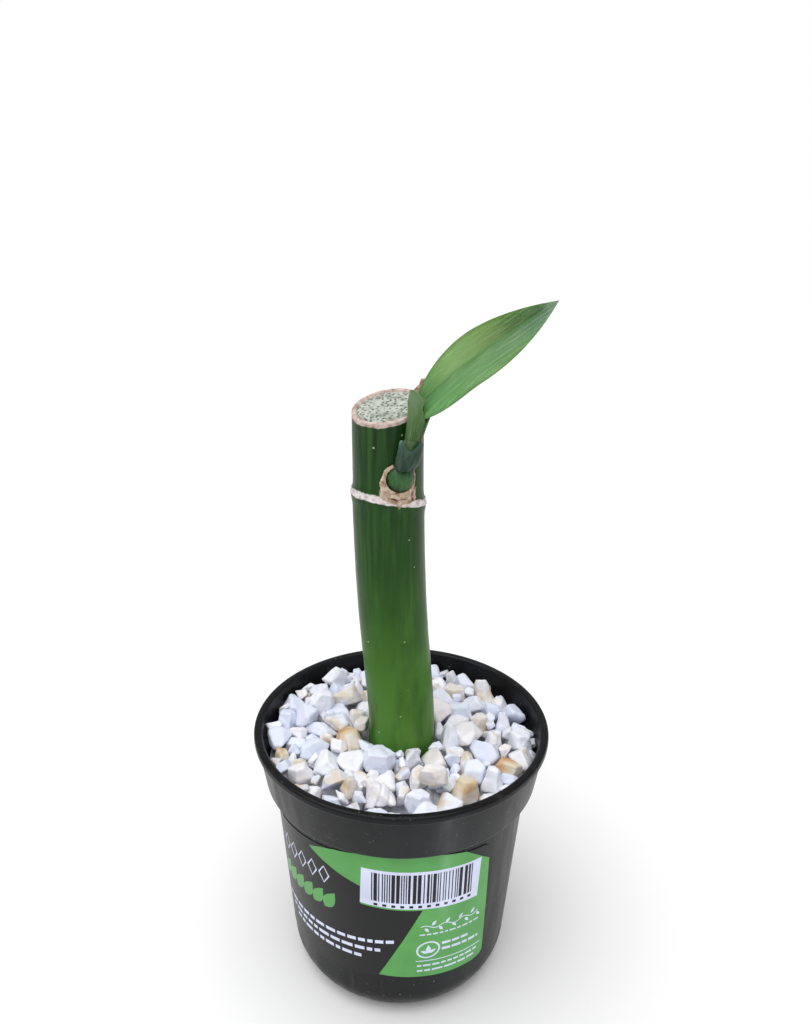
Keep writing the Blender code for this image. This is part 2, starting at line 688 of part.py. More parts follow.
def down_to(mesh, floor):
    """A stone with its shadow on the floor below, as one hull, so that it is sure to join the bed."""
    for vertex in list(mesh.verts):
        mesh.verts.new((vertex.co.x, vertex.co.y, floor))
        vertex.co.z = max(vertex.co.z, floor + GAP)
    bmesh.ops.delete(mesh, geom=list(mesh.faces) + list(mesh.edges), context="EDGES_FACES")
    hull = bmesh.ops.convex_hull(mesh, input=mesh.verts)
    inner = [v for v in hull["geom_interior"] + hull["geom_unused"] if isinstance(v, bmesh.types.BMVert)]
    bmesh.ops.delete(mesh, geom=list(set(inner)), context="VERTS")
    return mesh


def make_bed(cane_clearance, heights, draw, finish):
    """The lower stones, joined in one piece: stones half sunk in a slab that follows the pot. A ring of
    them lies along the wall."""
    edge = bed_edge()
    x, y = np.meshgrid(AXIS, AXIS, indexing="ij")
    on_bed = np.hypot(x, y) < edge
    bed_heights = np.where(on_bed, heights, 1.0)
    joined = bmesh.new()
    for index in range(BED_STONES):
        made = random_stone(draw)
        shape = envelope(made, 0.0)
        if index < BED_WALL_STONES:
            reach = max(v.co.xy.length for v in made.verts)
            place = around(360.0 / BED_WALL_STONES * (index + draw.uniform(-0.2, 0.2)), edge - reach, 0.0)
            row, column = (int(round(at / CELL)) + REACH_CELLS for at in place.xy)
            z = drop(bed_heights, shape, row, column)
        else:
            z, row, column = lowest_place(spread(bed_heights), shape, draw)
        z = min(z, BED_TOP + BED_SINK) - BED_SINK
        settle(bed_heights, made, row, column, z, GAP / 2)
        below = down_to(made, BED_TOP - BED_ROOTING)
        copy = bpy.data.meshes.new("bed_stone")
        below.to_mesh(copy)
        below.free()
        joined.from_mesh(copy)
        bpy.data.meshes.remove(copy)
    heights[on_bed] = bed_heights[on_bed]

    turns = column_angles((0.0, WALL))
    slab = loft([[around(turn, r, z) for turn in turns] for r, z in bed_profile()], False)
    bed = add_object("gravel_bed", slab, finish, 20.0)
    step = boolean(bed, "UNION", add_object("bed_stones", joined))
    step.use_self = True
    boolean(bed, "DIFFERENCE", cane_clearance)


def make_gravel(cane_clearance):
    """A bed of joined lower stones, and the loose stones that lie on it, dropped one by one."""
    draw = random.Random(11)
    heights = empty_heights()
    stone_finish = material("crushed_marble", (0.78, 0.8, 0.86), 0.55)
    make_bed(cane_clearance, heights, draw, stone_finish)
    for index in range(TOP_STONES):
        if index < len(SURFACE_STONES):
            (at_x, at_y), size, taper, turn_by, tilt_by = SURFACE_STONES[index]
            made = surface_stone(draw, size, taper, turn_by, tilt_by)
            shape = envelope(made, GAP / 2)
            place = (at / 100 * RIM_RADIUS for at in (at_x, at_y))
            z, row, column = nearest_place(spread(heights), shape, *place)
        else:
            made = random_stone(draw)
            shape = envelope(made, GAP / 2)
            z, row, column = lowest_place(spread(heights), shape, draw)
        settle(heights, made, row, column, z, GAP / 2)
        add_object(f"stone_{index + 1:02d}", made, stone_finish, 20.0)


# ---------------------------------------------------------------- shoot and leaf


def beside_cane(angle, height, out):
    """A point that stands out from the cane's surface, at a height above the upper node."""
    z = NODE_Z + height
    return around(angle, CANE_RADIUS + out, z, cane_centre(z))


def shoot_path():
    """The shoot's axis, from the middle of its base to where the leaf opens."""
    return [
        beside_cane(SHOOT_ANGLE, BASE_ABOVE_NODE, 1.0 * MM),
        beside_cane(SHOOT_ANGLE + 2, BASE_ABOVE_NODE + 5.0 * MM, 2.6 * MM),
        beside_cane(SHOOT_ANGLE + 7, BASE_ABOVE_NODE + 10.0 * MM, 3.0 * MM),
        beside_cane(SHOOT_ANGLE + 14, BASE_ABOVE_NODE + 15.0 * MM, 3.0 * MM),
        beside_cane(SHOOT_ANGLE + 22, BASE_ABOVE_NODE + 19.5 * MM, 3.1 * MM),
    ]


def make_shoot_base(cane_clearance, clearance, finish):
    """The swollen foot of the shoot, a low dome against the cane."""
    centre = beside_cane(SHOOT_ANGLE, BASE_ABOVE_NODE, 0.0)
    radius = BASE_DIAMETER / 2 + clearance
    dome = bmesh.new()
    bmesh.ops.create_uvsphere(dome, u_segments=16, v_segments=10, radius=radius)
    flatten = Matrix.Diagonal((1.0, (BASE_STANDS_OUT + clearance) / radius, 1.05, 1.0))
    face = Matrix.Rotation(math.radians(SHOOT_ANGLE), 4, "Z")
    bmesh.ops.transform(dome, matrix=Matrix.Translation(centre) @ face @ flatten, verts=dome.verts)
    if finish is None:
        return add_object("shoot_base_clearance", dome)
    base = add_object("shoot_base", dome, finish)
    boolean(base, "DIFFERENCE", cane_clearance)
    return base


def make_husk(cane_clearance, scale_clearance):
    """The dried bud scale: a papery collar on the cane round the shoot's foot, wide and pointed below,
    and open at the top, where the first green scale comes out."""
    inner = BASE_DIAMETER / 2 + 0.5 * GAP
    rows = []
    steps = 28
    for k in range(steps):
        turn = 2 * math.pi * k / steps
        below = max(0.0, -math.cos(turn))
        width = HUSK_WIDTH + HUSK_WIDER_BELOW * below + HUSK_POINT * below**8
        row = []
        for share in (0.0, 0.5, 1.0):
            reach = inner + GAP + width * share
            across, up = -reach * math.sin(turn), reach * math.cos(turn) * 1.05
            angle = SHOOT_ANGLE + math.degrees(across / CANE_RADIUS)
            row.append(beside_cane(angle, BASE_ABOVE_NODE + up, NODE_SWELL + GAP + HUSK_THICKNESS / 2))
        rows.append(row)
    dry = material("dry_husk", (0.48, 0.3, 0.17), 0.7)
    husk = add_object("bud_husk", sheet(rows, HUSK_THICKNESS, ring=True), dry)
    boolean(husk, "DIFFERENCE", cane_clearance)
    boolean(husk, "DIFFERENCE", scale_clearance)


def sleeve(path, radius, thickness, lean, sides, opening=0.0):
    """Rows of a sleeve's mid-surface round a path, whose top edge leans; with an opening, in degrees,
    it wraps only part of the way."""
    rows = []
    count = sides + 1 if opening else sides
    rings = tube_rings(path, [radius - thickness / 2] * len(path), 360)
    for k in range(count):
        turn = int(round((opening / 2 + (360 - opening) * k / sides + 90) % 360)) % 360
        side = math.cos(math.radians(turn))
        row = []
        for i, ring in enumerate(rings):
            share = i / (len(rings) - 1)
            row.append(ring[turn] + Vector((0, 0, lean * side * share)))
        rows.append(row)
    return rows


def make_shoot(cane_clearance):
    green = material("young_shoot", (0.05, 0.13, 0.035), 0.45)
    base_clearance = make_shoot_base(cane_clearance, GAP, None)
    make_shoot_base(cane_clearance, 0.0, green)
    axis = smooth_curve(shoot_path(), 41)
    around_scale = tube_rings(axis[0:20:4], [SCALE_DIAMETER / 2 + GAP] * 5, 16)
    make_husk(cane_clearance, add_object("scale_clearance", loft(around_scale, False)))

    stem_path = axis[8:37:4]
    middle = (len(stem_path) - 1) / 2
    narrows = [max(0.0, k / middle - 1) for k in range(len(stem_path))]
    stem_radii = [(STEM_DIAMETER + (STEM_TOP_DIAMETER - STEM_DIAMETER) * share) / 2 for share in narrows]
    stem = add_object("shoot_stem", loft(tube_rings(stem_path, stem_radii, 12, 0.85), False), green)
    boolean(stem, "DIFFERENCE", cane_clearance)
    boolean(stem, "DIFFERENCE", base_clearance)

    scale_rows = sleeve(axis[6:17:2], SCALE_DIAMETER / 2, SCALE_THICKNESS, SCALE_LEAN, 14)
    dark = material("scale_leaf", (0.03, 0.075, 0.04), 0.4)
    scale = add_object("lower_scale", sheet(scale_rows, SCALE_THICKNESS, ring=True), dark)
    boolean(scale, "DIFFERENCE", cane_clearance)
    boolean(scale, "DIFFERENCE", base_clearance)

    sheath_radius = STEM_TOP_DIAMETER / 2 + 2 * GAP + SHEATH_THICKNESS
    sheath_rows = sleeve(axis[30:41:2], sheath_radius, SHEATH_THICKNESS, SHEATH_LEAN, 12, SHEATH_OPENING)
    pale = material("leaf_sheath", (0.16, 0.33, 0.11), 0.5)
    sheath = add_object("leaf_sheath", sheet(sheath_rows, SHEATH_THICKNESS), pale)
    boolean(sheath, "DIFFERENCE", cane_clearance)
    return axis, [column[-1] for column in sheath_rows]


def leaf_outline(t):
    """Half the blade's width at a share of its length: broad near the middle, drawn out to the tip."""
    broadest = (LEAF_TAPER - LEAF_BASE_SHARE) / (1 + LEAF_TAPER)
    most = (1 - broadest) * (LEAF_BASE_SHARE + broadest) ** LEAF_TAPER
    return LEAF_WIDTH / 2 * (1 - t) * (LEAF_BASE_SHARE + t) ** LEAF_TAPER / most


def leaf_grid(base, rise, columns):
    """Mid-surface of the leaf: arched a little near its base, bowed forwards, folded on the midrib."""
    along = Vector((math.cos(math.radians(rise)), -0.01, math.sin(math.radians(rise)))).normalized()
    up = along.cross(Vector((-0.1, -1.0, 0.3))).normalized()
    up *= math.copysign(1.0, up.z)
    facing = along.cross(up).normalized()
    facing *= math.copysign(1.0, -facing.y)
    rows = []
    for i in range(LEAF_STATIONS):
        t = i / (LEAF_STATIONS - 1)
        width = max(leaf_outline(t), LEAF_THICKNESS)
        sway = LEAF_SWAY * math.sin(math.pi * t) * (1 - t)
        bow = LEAF_BOW * math.sin(math.pi * t)
        middle = base + along * LEAF_LENGTH * t + up * sway + facing * bow
        row = []
        for j in range(columns):
            side = 2 * j / (columns - 1) - 1
            row.append(middle + up * width * side + facing * LEAF_FOLD * abs(side) * width)
        rows.append(row)
    return rows


def make_leaf(axis, sheath_rim):
    base = axis[-1] + Vector((0.7, -0.8, 1.1)) * MM
    leaf_finish = material("leaf_blade", (0.14, 0.3, 0.08), 0.42)
    add_object("leaf", sheet(leaf_grid(base, LEAF_RISE, 7), LEAF_THICKNESS), leaf_finish, 60.0)

    foot = sorted(sorted(sheath_rim, key=lambda point: point.y)[-TIP_COLUMNS:], key=lambda point: point.x)
    middle = sum(foot, Vector()) / TIP_COLUMNS
    rows = []
    for t in np.linspace(0.0, 1.0, 6):
        raised = Vector((0, 0, 2 * GAP + TIP_LENGTH * t))
        rows.append([point + (middle - point) * TIP_NARROWING * t + raised for point in foot])
    withered = material("withered_leaf", (0.5, 0.33, 0.27), 0.75)
    add_object("withered_tip", sheet(rows, TIP_THICKNESS), withered)


def main():
    for obj in list(bpy.data.objects):
        bpy.data.objects.remove(obj, do_unlink=True)
    make_pot()
    make_label()
    cane_clearance = make_cane()
    make_soil(cane_clearance)
    make_gravel(cane_clearance)
    axis, sheath_rim = make_shoot(cane_clearance)
    make_leaf(axis, sheath_rim)


main()
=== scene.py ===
import math
import random

import bmesh
import bpy
import numpy as np
from mathutils import Matrix, Vector, noise
from mathutils.bvhtree import BVHTree


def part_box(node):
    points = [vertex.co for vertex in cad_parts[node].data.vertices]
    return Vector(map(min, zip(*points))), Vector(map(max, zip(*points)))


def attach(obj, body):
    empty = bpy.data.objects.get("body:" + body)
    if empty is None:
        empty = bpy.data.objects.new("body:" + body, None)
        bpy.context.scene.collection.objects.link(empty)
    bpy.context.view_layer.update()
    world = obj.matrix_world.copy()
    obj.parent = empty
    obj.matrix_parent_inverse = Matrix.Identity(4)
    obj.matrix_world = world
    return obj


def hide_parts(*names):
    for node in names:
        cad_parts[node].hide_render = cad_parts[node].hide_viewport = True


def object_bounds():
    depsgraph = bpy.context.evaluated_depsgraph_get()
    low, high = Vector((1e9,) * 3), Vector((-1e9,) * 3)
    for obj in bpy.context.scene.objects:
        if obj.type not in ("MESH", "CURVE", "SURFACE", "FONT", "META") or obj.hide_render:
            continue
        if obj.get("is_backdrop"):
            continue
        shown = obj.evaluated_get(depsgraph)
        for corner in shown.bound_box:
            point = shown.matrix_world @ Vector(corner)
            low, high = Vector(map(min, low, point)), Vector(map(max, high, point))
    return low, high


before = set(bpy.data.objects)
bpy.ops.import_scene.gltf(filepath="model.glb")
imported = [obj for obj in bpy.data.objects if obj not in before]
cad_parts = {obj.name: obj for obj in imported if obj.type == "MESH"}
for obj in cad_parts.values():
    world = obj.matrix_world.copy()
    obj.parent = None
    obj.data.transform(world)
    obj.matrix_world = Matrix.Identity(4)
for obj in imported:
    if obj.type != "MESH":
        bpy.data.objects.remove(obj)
cad_low, cad_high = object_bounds()


# ---------------------------------------------------------------- pot
# The nursery pot is black polypropylene, injection-moulded in one shot: a rolled lip, a collar by which
# pots nest, a tapered body, and a foot ring that four shallow gaps part into feet, with a drain in each.
# It is the base of the plant, and everything else stands in it or is stuck on it.

MM = 0.001
LIP_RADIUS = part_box("pot")[1].x
LIP_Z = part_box("pot")[1].z
LIP_WIDTH = 2.2 * MM
LIP_HEIGHT = 2.2 * MM
COLLAR_TOP_RADIUS = 44.0 * MM
COLLAR_BOTTOM_RADIUS = 41.9 * MM
COLLAR_Z = LIP_Z - 15.8 * MM
SHOULDER_Z = COLLAR_Z - 1.0 * MM
BODY_TOP_RADIUS = 39.1 * MM
BODY_BOTTOM_RADIUS = 34.1 * MM
WALL = 0.9 * MM
BASE_ROUNDING = 10.0 * MM
FOOT_HEIGHT = 2.8 * MM
FOOT_RING_WIDTH = 5.0 * MM
NOTCH_MIDDLES = (16.0, 106.0, 196.0, 286.0)
NOTCH_HALF_ANGLE = 17.0
NOTCH_RAMP_ANGLE = 3.0
CENTRE_DRAIN_RADIUS = 3.5 * MM
SIDE_DRAIN_RADIUS = 1.8 * MM
POT_COLUMNS = 288


def linear(hex_colour):
    """The linear RGBA of an sRGB hex value."""
    parts = [int(hex_colour[k : k + 2], 16) / 255 for k in (1, 3, 5)]
    return (*[c / 12.92 if c <= 0.04045 else ((c + 0.055) / 1.055) ** 2.4 for c in parts], 1.0)


def feed(node, inputs):
    """Sets a node's inputs to numbers or sRGB hex colours, or links them to another node's output."""
    for key, value in inputs.items():
        if isinstance(value, bpy.types.NodeSocket):
            node.id_data.links.new(value, node.inputs[key])
        else:
            node.inputs[key].default_value = linear(value) if isinstance(value, str) else value


def add(material, kind, inputs=None, output=None, **settings):
    """Adds one node with its settings and inputs, and returns its named output, or the first in use. The
    stops of a ramp are places with an sRGB hex colour or a grey level."""
    made = material.node_tree.nodes.new("ShaderNode" + kind)
    for key, value in settings.items():
        if key == "stops":
            ramp = made.color_ramp.elements
            while len(ramp) < len(value):
                ramp.new(0.5)
            for element, (position, tone) in zip(ramp, value):
                element.position = position
                element.color = linear(tone) if isinstance(tone, str) else (tone, tone, tone, 1.0)
        else:
            setattr(made, key, value)
    feed(made, inputs or {})
    return made.outputs[output] if output else next(socket for socket in made.outputs if socket.enabled)


def new_finish(name, constants):
    """A material whose Principled shader has these constant values; returns it and the shader."""
    made = bpy.data.materials.new(name)
    made.use_nodes = True
    shader = made.node_tree.nodes["Principled BSDF"]
    feed(shader, constants)
    return made, shader


def where(material):
    """The output that gives the place on the object, in metres."""
    return material.node_tree.nodes.new("ShaderNodeTexCoord").outputs["Object"]


def around(angle, radius, z, centre_x=0.0):
    """A point at this angle from the front, in degrees, positive to the right."""
    turn = math.radians(angle)
    return (centre_x + radius * math.sin(turn), -radius * math.cos(turn), z)


def rounded(corners, steps=5):
    """A profile through corners of radius, height and rounding, each corner eased by a small curve."""
    points = []
    for k, (r, z, ease) in enumerate(corners):
        here = np.array([r, z])
        if ease == 0.0:
            points.append(here)
            continue
        before = np.array(corners[k - 1][:2]) - here
        after = np.array(corners[(k + 1) % len(corners)][:2]) - here
        start = here + before * min(0.49, ease / np.linalg.norm(before))
        end = here + after * min(0.49, ease / np.linalg.norm(after))
        for t in np.linspace(0.0, 1.0, steps):
            points.append((1 - t) ** 2 * start + 2 * t * (1 - t) * here + t * t * end)
    return points


def skin(grid, round_rows=False, round_columns=False):
    """The points of a grid, and the quads that join them, round on themselves in either direction."""
    rows, columns = grid.shape[:2]
    index = np.arange(rows * columns).reshape(rows, columns)
    if round_rows:
        index = np.vstack([index, index[:1]])
    if round_columns:
        index = np.hstack([index, index[:, :1]])
    quads = np.stack([index[:-1, :-1], index[1:, :-1], index[1:, 1:], index[:-1, 1:]], -1)
    return grid.reshape(-1, 3), quads.reshape(-1, 4).tolist()


def put(name, data):
    """A new object in the scene."""
    made = bpy.data.objects.new(name, data)
    bpy.context.scene.collection.objects.link(made)
    return made


# Edges that turn by more than this many degrees look sharp.
ALL_SMOOTH, SHARP_EDGES, PRINT_EDGES, POT_EDGES = 180.0, 60.0, 40.0, 30.0


def show(name, points, faces, finish, stands_for=(), crease=PRINT_EDGES, marks=None):
    """Makes a piece of the object from points and faces. marks are values kept at its points."""
    mesh = bpy.data.meshes.new(name)
    mesh.from_pydata([tuple(p) for p in points], [], faces)
    work = bmesh.new()
    work.from_mesh(mesh)
    bmesh.ops.recalc_face_normals(work, faces=work.faces)
    work.to_mesh(mesh)
    work.free()
    for key, values in (marks or {}).items():
        values = np.asarray(values, np.float32)
        kind, field = ("FLOAT", "value") if values.ndim == 1 else ("FLOAT_VECTOR", "vector")
        mesh.attributes.new(key, kind, "POINT").data.foreach_set(field, values.ravel())
    mesh.materials.append(finish)
    mesh.shade_smooth()
    mesh.set_sharp_from_angle(angle=math.radians(crease))
    piece = put(name, mesh)
    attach(piece, "root")
    if stands_for:
        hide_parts(*stands_for)
    return piece


def body_radius(z):
    """Outside radius of the tapered body at a height."""
    return BODY_BOTTOM_RADIUS + (BODY_TOP_RADIUS - BODY_BOTTOM_RADIUS) * z / SHOULDER_Z


def base_corner(inset, steps):
    """The rounded corner between body and foot ring, from the body down, moved in by an inset."""
    centre = body_radius(BASE_ROUNDING) - BASE_ROUNDING
    reach = BASE_ROUNDING - inset
    turns = np.linspace(math.pi / 2, 0.0, steps)
    return [(centre + reach * math.sin(t), BASE_ROUNDING - reach * math.cos(t), 0.0) for t in turns]


def foot_lift(angle):
    """How far a notch lifts the foot ring at this angle, as a share of its depth."""
    off = min(abs((angle - middle + 180) % 360 - 180) for middle in NOTCH_MIDDLES)
    share = np.clip((NOTCH_HALF_ANGLE + NOTCH_RAMP_ANGLE / 2 - off) / NOTCH_RAMP_ANGLE, 0, 1)
    return share * share * (3 - 2 * share)


foot_inner = body_radius(BASE_ROUNDING) - BASE_ROUNDING - FOOT_RING_WIDTH
outside = rounded(
    [
        (LIP_RADIUS - LIP_WIDTH, LIP_Z, 0.7 * MM),
        (LIP_RADIUS, LIP_Z, 0.8 * MM),
        (LIP_RADIUS, LIP_Z - LIP_HEIGHT, 0.5 * MM),
        (COLLAR_TOP_RADIUS, LIP_Z - LIP_HEIGHT - 0.5 * MM, 0.4 * MM),
        (COLLAR_BOTTOM_RADIUS, COLLAR_Z, 0.9 * MM),
        (BODY_TOP_RADIUS, SHOULDER_Z, 0.6 * MM),
        *base_corner(0.0, 12),
        (foot_inner, 0.0, 0.4 * MM),
        (foot_inner - 1.0 * MM, FOOT_HEIGHT, 0.4 * MM),
        (CENTRE_DRAIN_RADIUS, FOOT_HEIGHT, 0.2 * MM),
    ]
)
inside = rounded(
    [
        (CENTRE_DRAIN_RADIUS, FOOT_HEIGHT + WALL, 0.2 * MM),
        (foot_inner - 1.0 * MM + WALL, FOOT_HEIGHT + WALL, 0.4 * MM),
        (foot_inner + WALL, WALL, 0.3 * MM),
        *reversed(base_corner(WALL, 8)),
        (BODY_TOP_RADIUS - WALL, SHOULDER_Z + WALL, 0.6 * MM),
        (COLLAR_BOTTOM_RADIUS - WALL, COLLAR_Z + WALL, 0.6 * MM),
        (LIP_RADIUS - LIP_WIDTH - 0.1 * MM, LIP_Z - 0.8 * MM, 0.3 * MM),
    ]
)
columns = []
for k in range(POT_COLUMNS):
    turn = 360.0 * k / POT_COLUMNS
    lift = FOOT_HEIGHT * foot_lift(turn)
    column = [around(turn, r, max(z, lift)) for r, z in outside]
    column += [around(turn, r, max(z, lift + WALL)) for r, z in inside]
    columns.append(column)
points, quads = skin(np.array(columns), round_rows=True, round_columns=True)

# Moulded black polypropylene: a satin skin that shows soft reflections, broken up by handling scuffs,
# faint flow lines down the wall and specks of dried soil and lime.
plastic, shader = new_finish("moulded_black_polypropylene", {"IOR": 1.49, "Specular IOR Level": 0.2})
place = where(plastic)
stretched = add(plastic, "Mapping", {"Vector": place, "Scale": (1.0, 1.0, 0.16)})
flow = add(plastic, "TexNoise", {"Vector": stretched, "Scale": 1 / (4.0 * MM), "Detail": 5.0})
cloud = add(plastic, "TexNoise", {"Vector": place, "Scale": 1 / (17.0 * MM), "Detail": 3.0})
tint = add(plastic, "ValToRGB", {"Fac": cloud}, stops=[(0.3, "#0a0a0c"), (0.55, "#101114"), (0.8, "#18191b")])
speck = add(plastic, "TexNoise", {"Vector": place, "Scale": 1 / (1.1 * MM), "Detail": 2.0})
speck = add(plastic, "ValToRGB", {"Fac": speck}, stops=[(0.7, 0), (0.78, 0.55)])
streak = add(plastic, "ValToRGB", {"Fac": flow}, stops=[(0.6, 0), (0.85, 0.14)])
marks = add(plastic, "Math", {0: speck, 1: streak}, operation="MAXIMUM")
dusty = add(plastic, "Mix", {"Factor": marks, 6: tint, 7: "#8f8b84"}, data_type="RGBA")
gloss = add(
    plastic, "MapRange", {"Value": flow, "From Min": 0.3, "From Max": 0.75, "To Min": 0.29, "To Max": 0.46}
)
grain = add(plastic, "TexNoise", {"Vector": place, "Scale": 1 / (0.5 * MM), "Detail": 3.0})
relief = add(plastic, "Bump", {"Height": grain, "Strength": 0.12, "Distance": 0.05 * MM})
waves = add(plastic, "Bump", {"Height": flow, "Strength": 0.25, "Distance": 0.12 * MM, "Normal": relief})
feed(shader, {"Base Color": dusty, "Roughness": gloss, "Normal": waves})

pot = show("nursery_pot", points, quads, plastic, ["pot"], POT_EDGES)
drains = bmesh.new()
for middle in NOTCH_MIDDLES:
    at = Matrix.Translation(around(middle, foot_inner + FOOT_RING_WIDTH / 2, FOOT_HEIGHT + WALL / 2))
    bmesh.ops.create_cone(
        drains,
        cap_ends=True,
        segments=24,
        radius1=SIDE_DRAIN_RADIUS,
        radius2=SIDE_DRAIN_RADIUS,
        depth=4 * WALL,
        matrix=at,
    )
drill_mesh = bpy.data.meshes.new("drain_drill")
drains.to_mesh(drill_mesh)
drains.free()
drill = put("drain_drill", drill_mesh)
cut = pot.modifiers.new("drains", "BOOLEAN")
cut.operation = "DIFFERENCE"
cut.solver = "EXACT"
cut.object = drill
bpy.context.view_layer.update()
drilled = bpy.data.meshes.new_from_object(pot.evaluated_get(bpy.context.evaluated_depsgraph_get()))
pot.modifiers.clear()
pot.data = drilled
drilled.name = "nursery_pot"
bpy.data.objects.remove(drill)


# ---------------------------------------------------------------- label
# The wrap label is a die-cut polypropylene sticker on the body: black and green gravure print with white
# lines, under a clear gloss laminate. Each ink is a thin film on the sticker, wrapped with it.

LABEL_LEFT, LABEL_RIGHT = -62.0, 28.3
LABEL_BOTTOM, LABEL_TOP = 17.2, 63.0
LABEL_BOW = 0.0022
LABEL_BOW_CENTRE = -1.0
LABEL_CORNER = 3.0
LABEL_LIFT = 0.03
FILM = 0.12
INK = 0.015
PRINT_STEP = 1.5
INK_BLACK, INK_GREEN, INK_WHITE = "#0b0b0d", "#5aa255", "#d8def6"


def wrap(s, z, out):
    """The point on the body at this distance round it, height and distance off it, all in mm."""
    radius = body_radius(z * MM)
    return around(math.degrees(s * MM / radius), radius + out * MM, z * MM)


def laminated(name, colour):
    """Ink under a clear laminate: even colour, a sharp soft gloss, and the faint waviness of a sticker
    smoothed on by hand."""
    made, shader = new_finish(
        name, {"Specular IOR Level": 0.15, "Coat Weight": 0.2, "Coat Roughness": 0.18, "Coat IOR": 1.5}
    )
    place = where(made)
    wave = add(made, "TexNoise", {"Vector": place, "Scale": 1 / (9.0 * MM), "Detail": 2.0})
    dots = add(made, "TexNoise", {"Vector": place, "Scale": 1 / (0.5 * MM), "Detail": 1.0})
    tone = add(
        made, "MapRange", {"Value": wave, "From Min": 0.3, "From Max": 0.7, "To Min": 0.9, "To Max": 1.1}
    )
    shade = add(made, "Mix", {"Factor": 1.0, 6: colour, 7: tone}, data_type="RGBA", blend_type="MULTIPLY")
    gloss = add(made, "MapRange", {"Value": dots, "To Min": 0.3, "To Max": 0.5})
    relief = add(made, "Bump", {"Height": wave, "Strength": 0.3, "Distance": 0.15 * MM})
    feed(shader, {"Base Color": shade, "Roughness": gloss, "Normal": relief})
    return made


def thick(grid, thickness):
    """Both sides and the edges of a sheet on a grid of points, of one thickness or one for each."""
    half = np.broadcast_to(np.asarray(thickness, float), grid.shape[:2])[..., None] / 2
    normal = np.cross(np.gradient(grid, axis=0), np.gradient(grid, axis=1))
    normal /= np.linalg.norm(normal, axis=2, keepdims=True)
    front, faces = skin(grid + normal * half)
    back = (grid - normal * half).reshape(-1, 3)
    count = len(front)
    rows, columns = grid.shape[:2]
    index = np.arange(count).reshape(rows, columns)
    rim = [*index[0, :-1], *index[:-1, -1], *index[-1, :0:-1], *index[:0:-1, 0]]
    faces += [[k + count for k in face[::-1]] for face in faces]
    for k, here in enumerate(rim):
        there = rim[(k + 1) % len(rim)]
        faces.append([int(here), int(there), int(there) + count, int(here) + count])
    return np.vstack([front, back]), faces


def label_rows():
    """The points of the sticker in mm, in upright rows from left to right, with rounded corners."""
    rows = []
    ends = LABEL_CORNER * (1 - np.cos(np.linspace(0, math.pi / 2, 7)))
    middle = np.arange(LABEL_LEFT + LABEL_CORNER + 1, LABEL_RIGHT - LABEL_CORNER, PRINT_STEP)
    for s in [*(LABEL_LEFT + ends), *middle, *reversed(LABEL_RIGHT - ends)]:
        from_end = min(s - LABEL_LEFT, LABEL_RIGHT - s, LABEL_CORNER)
        cut_off = LABEL_CORNER - math.sqrt(max(0.0, LABEL_CORNER**2 - (LABEL_CORNER - from_end) ** 2))
        low, high = LABEL_BOTTOM + cut_off, LABEL_TOP - cut_off
        bow = LABEL_BOW * (s - LABEL_BOW_CENTRE) ** 2
        rows.append([wrap(s, z - bow, LABEL_LIFT + FILM / 2) for z in np.linspace(low, high, 14)])
    return np.array(rows)


points, faces = thick(label_rows(), FILM * MM)
show("label_film", points, faces, laminated("black_print_film", INK_BLACK), ["label"])


def printed(name, shapes, finish, layer):
    """Thin ink films on the sticker, from flat outlines (distance round, height), cut to follow it."""
    flat = bmesh.new()
    for outline in shapes:
        flat.faces.new([flat.verts.new((s, z, 0.0)) for s, z in outline])
    for axis, low, high in ((0, LABEL_LEFT, LABEL_RIGHT), (1, 0.0, LABEL_TOP + 3)):
        for at in np.arange(low, high, PRINT_STEP * (1 + 3 * axis)):
            direction = (1 - axis, axis, 0)
            geometry = flat.verts[:] + flat.edges[:] + flat.faces[:]
            spot = (at, 0, 0) if axis == 0 else (0, at, 0)
            bmesh.ops.bisect_plane(flat, geom=geometry, plane_co=spot, plane_no=direction, dist=1e-4)
    raised = bmesh.ops.extrude_face_region(flat, geom=flat.faces[:])
    for part in raised["geom"]:
        if isinstance(part, bmesh.types.BMVert):
            part.co.z = 1.0
    base = LABEL_LIFT + FILM + INK * (layer - 1)
    bmesh.ops.recalc_face_normals(flat, faces=flat.faces)
    # The cuts leave the corners and faces in no fixed order, so both are put in order by place.
    corners = sorted(flat.verts, key=lambda v: tuple(v.co))
    for k, corner in enumerate(corners):
        corner.index = k
    points = [wrap(v.co.x, v.co.y, base + INK * (0.2 + 0.8 * v.co.z)) for v in corners]
    faces = [[v.index for v in face.verts] for face in flat.faces]
    faces.sort(key=lambda loop: [points[k] for k in loop])
    flat.free()
    return show(name, points, faces, finish)


def tilted(s, z, width, height, slope, lean=0.0):
    """A bar's outline from its lower left corner, with its ends leaning."""
    end, end_z = s + width, z + slope * width
    return [(s, z), (end, end_z), (end + lean, end_z + height), (s + lean, z + height)]


def stroke(path, width, closed=False):
    """The quads of a line of constant width along a path."""
    path = np.array(path, float)
    if closed:
        ahead = np.roll(path, -1, 0) - np.roll(path, 1, 0)
    else:
        ahead = np.gradient(path, axis=0)
    ahead /= np.linalg.norm(ahead, axis=1, keepdims=True)
    side = np.stack([-ahead[:, 1], ahead[:, 0]], 1) * width / 2
    left, right = path + side, path - side
    last = len(path) if closed else len(path) - 1
    return [[left[k], right[k], right[(k + 1) % len(path)], left[(k + 1) % len(path)]] for k in range(last)]


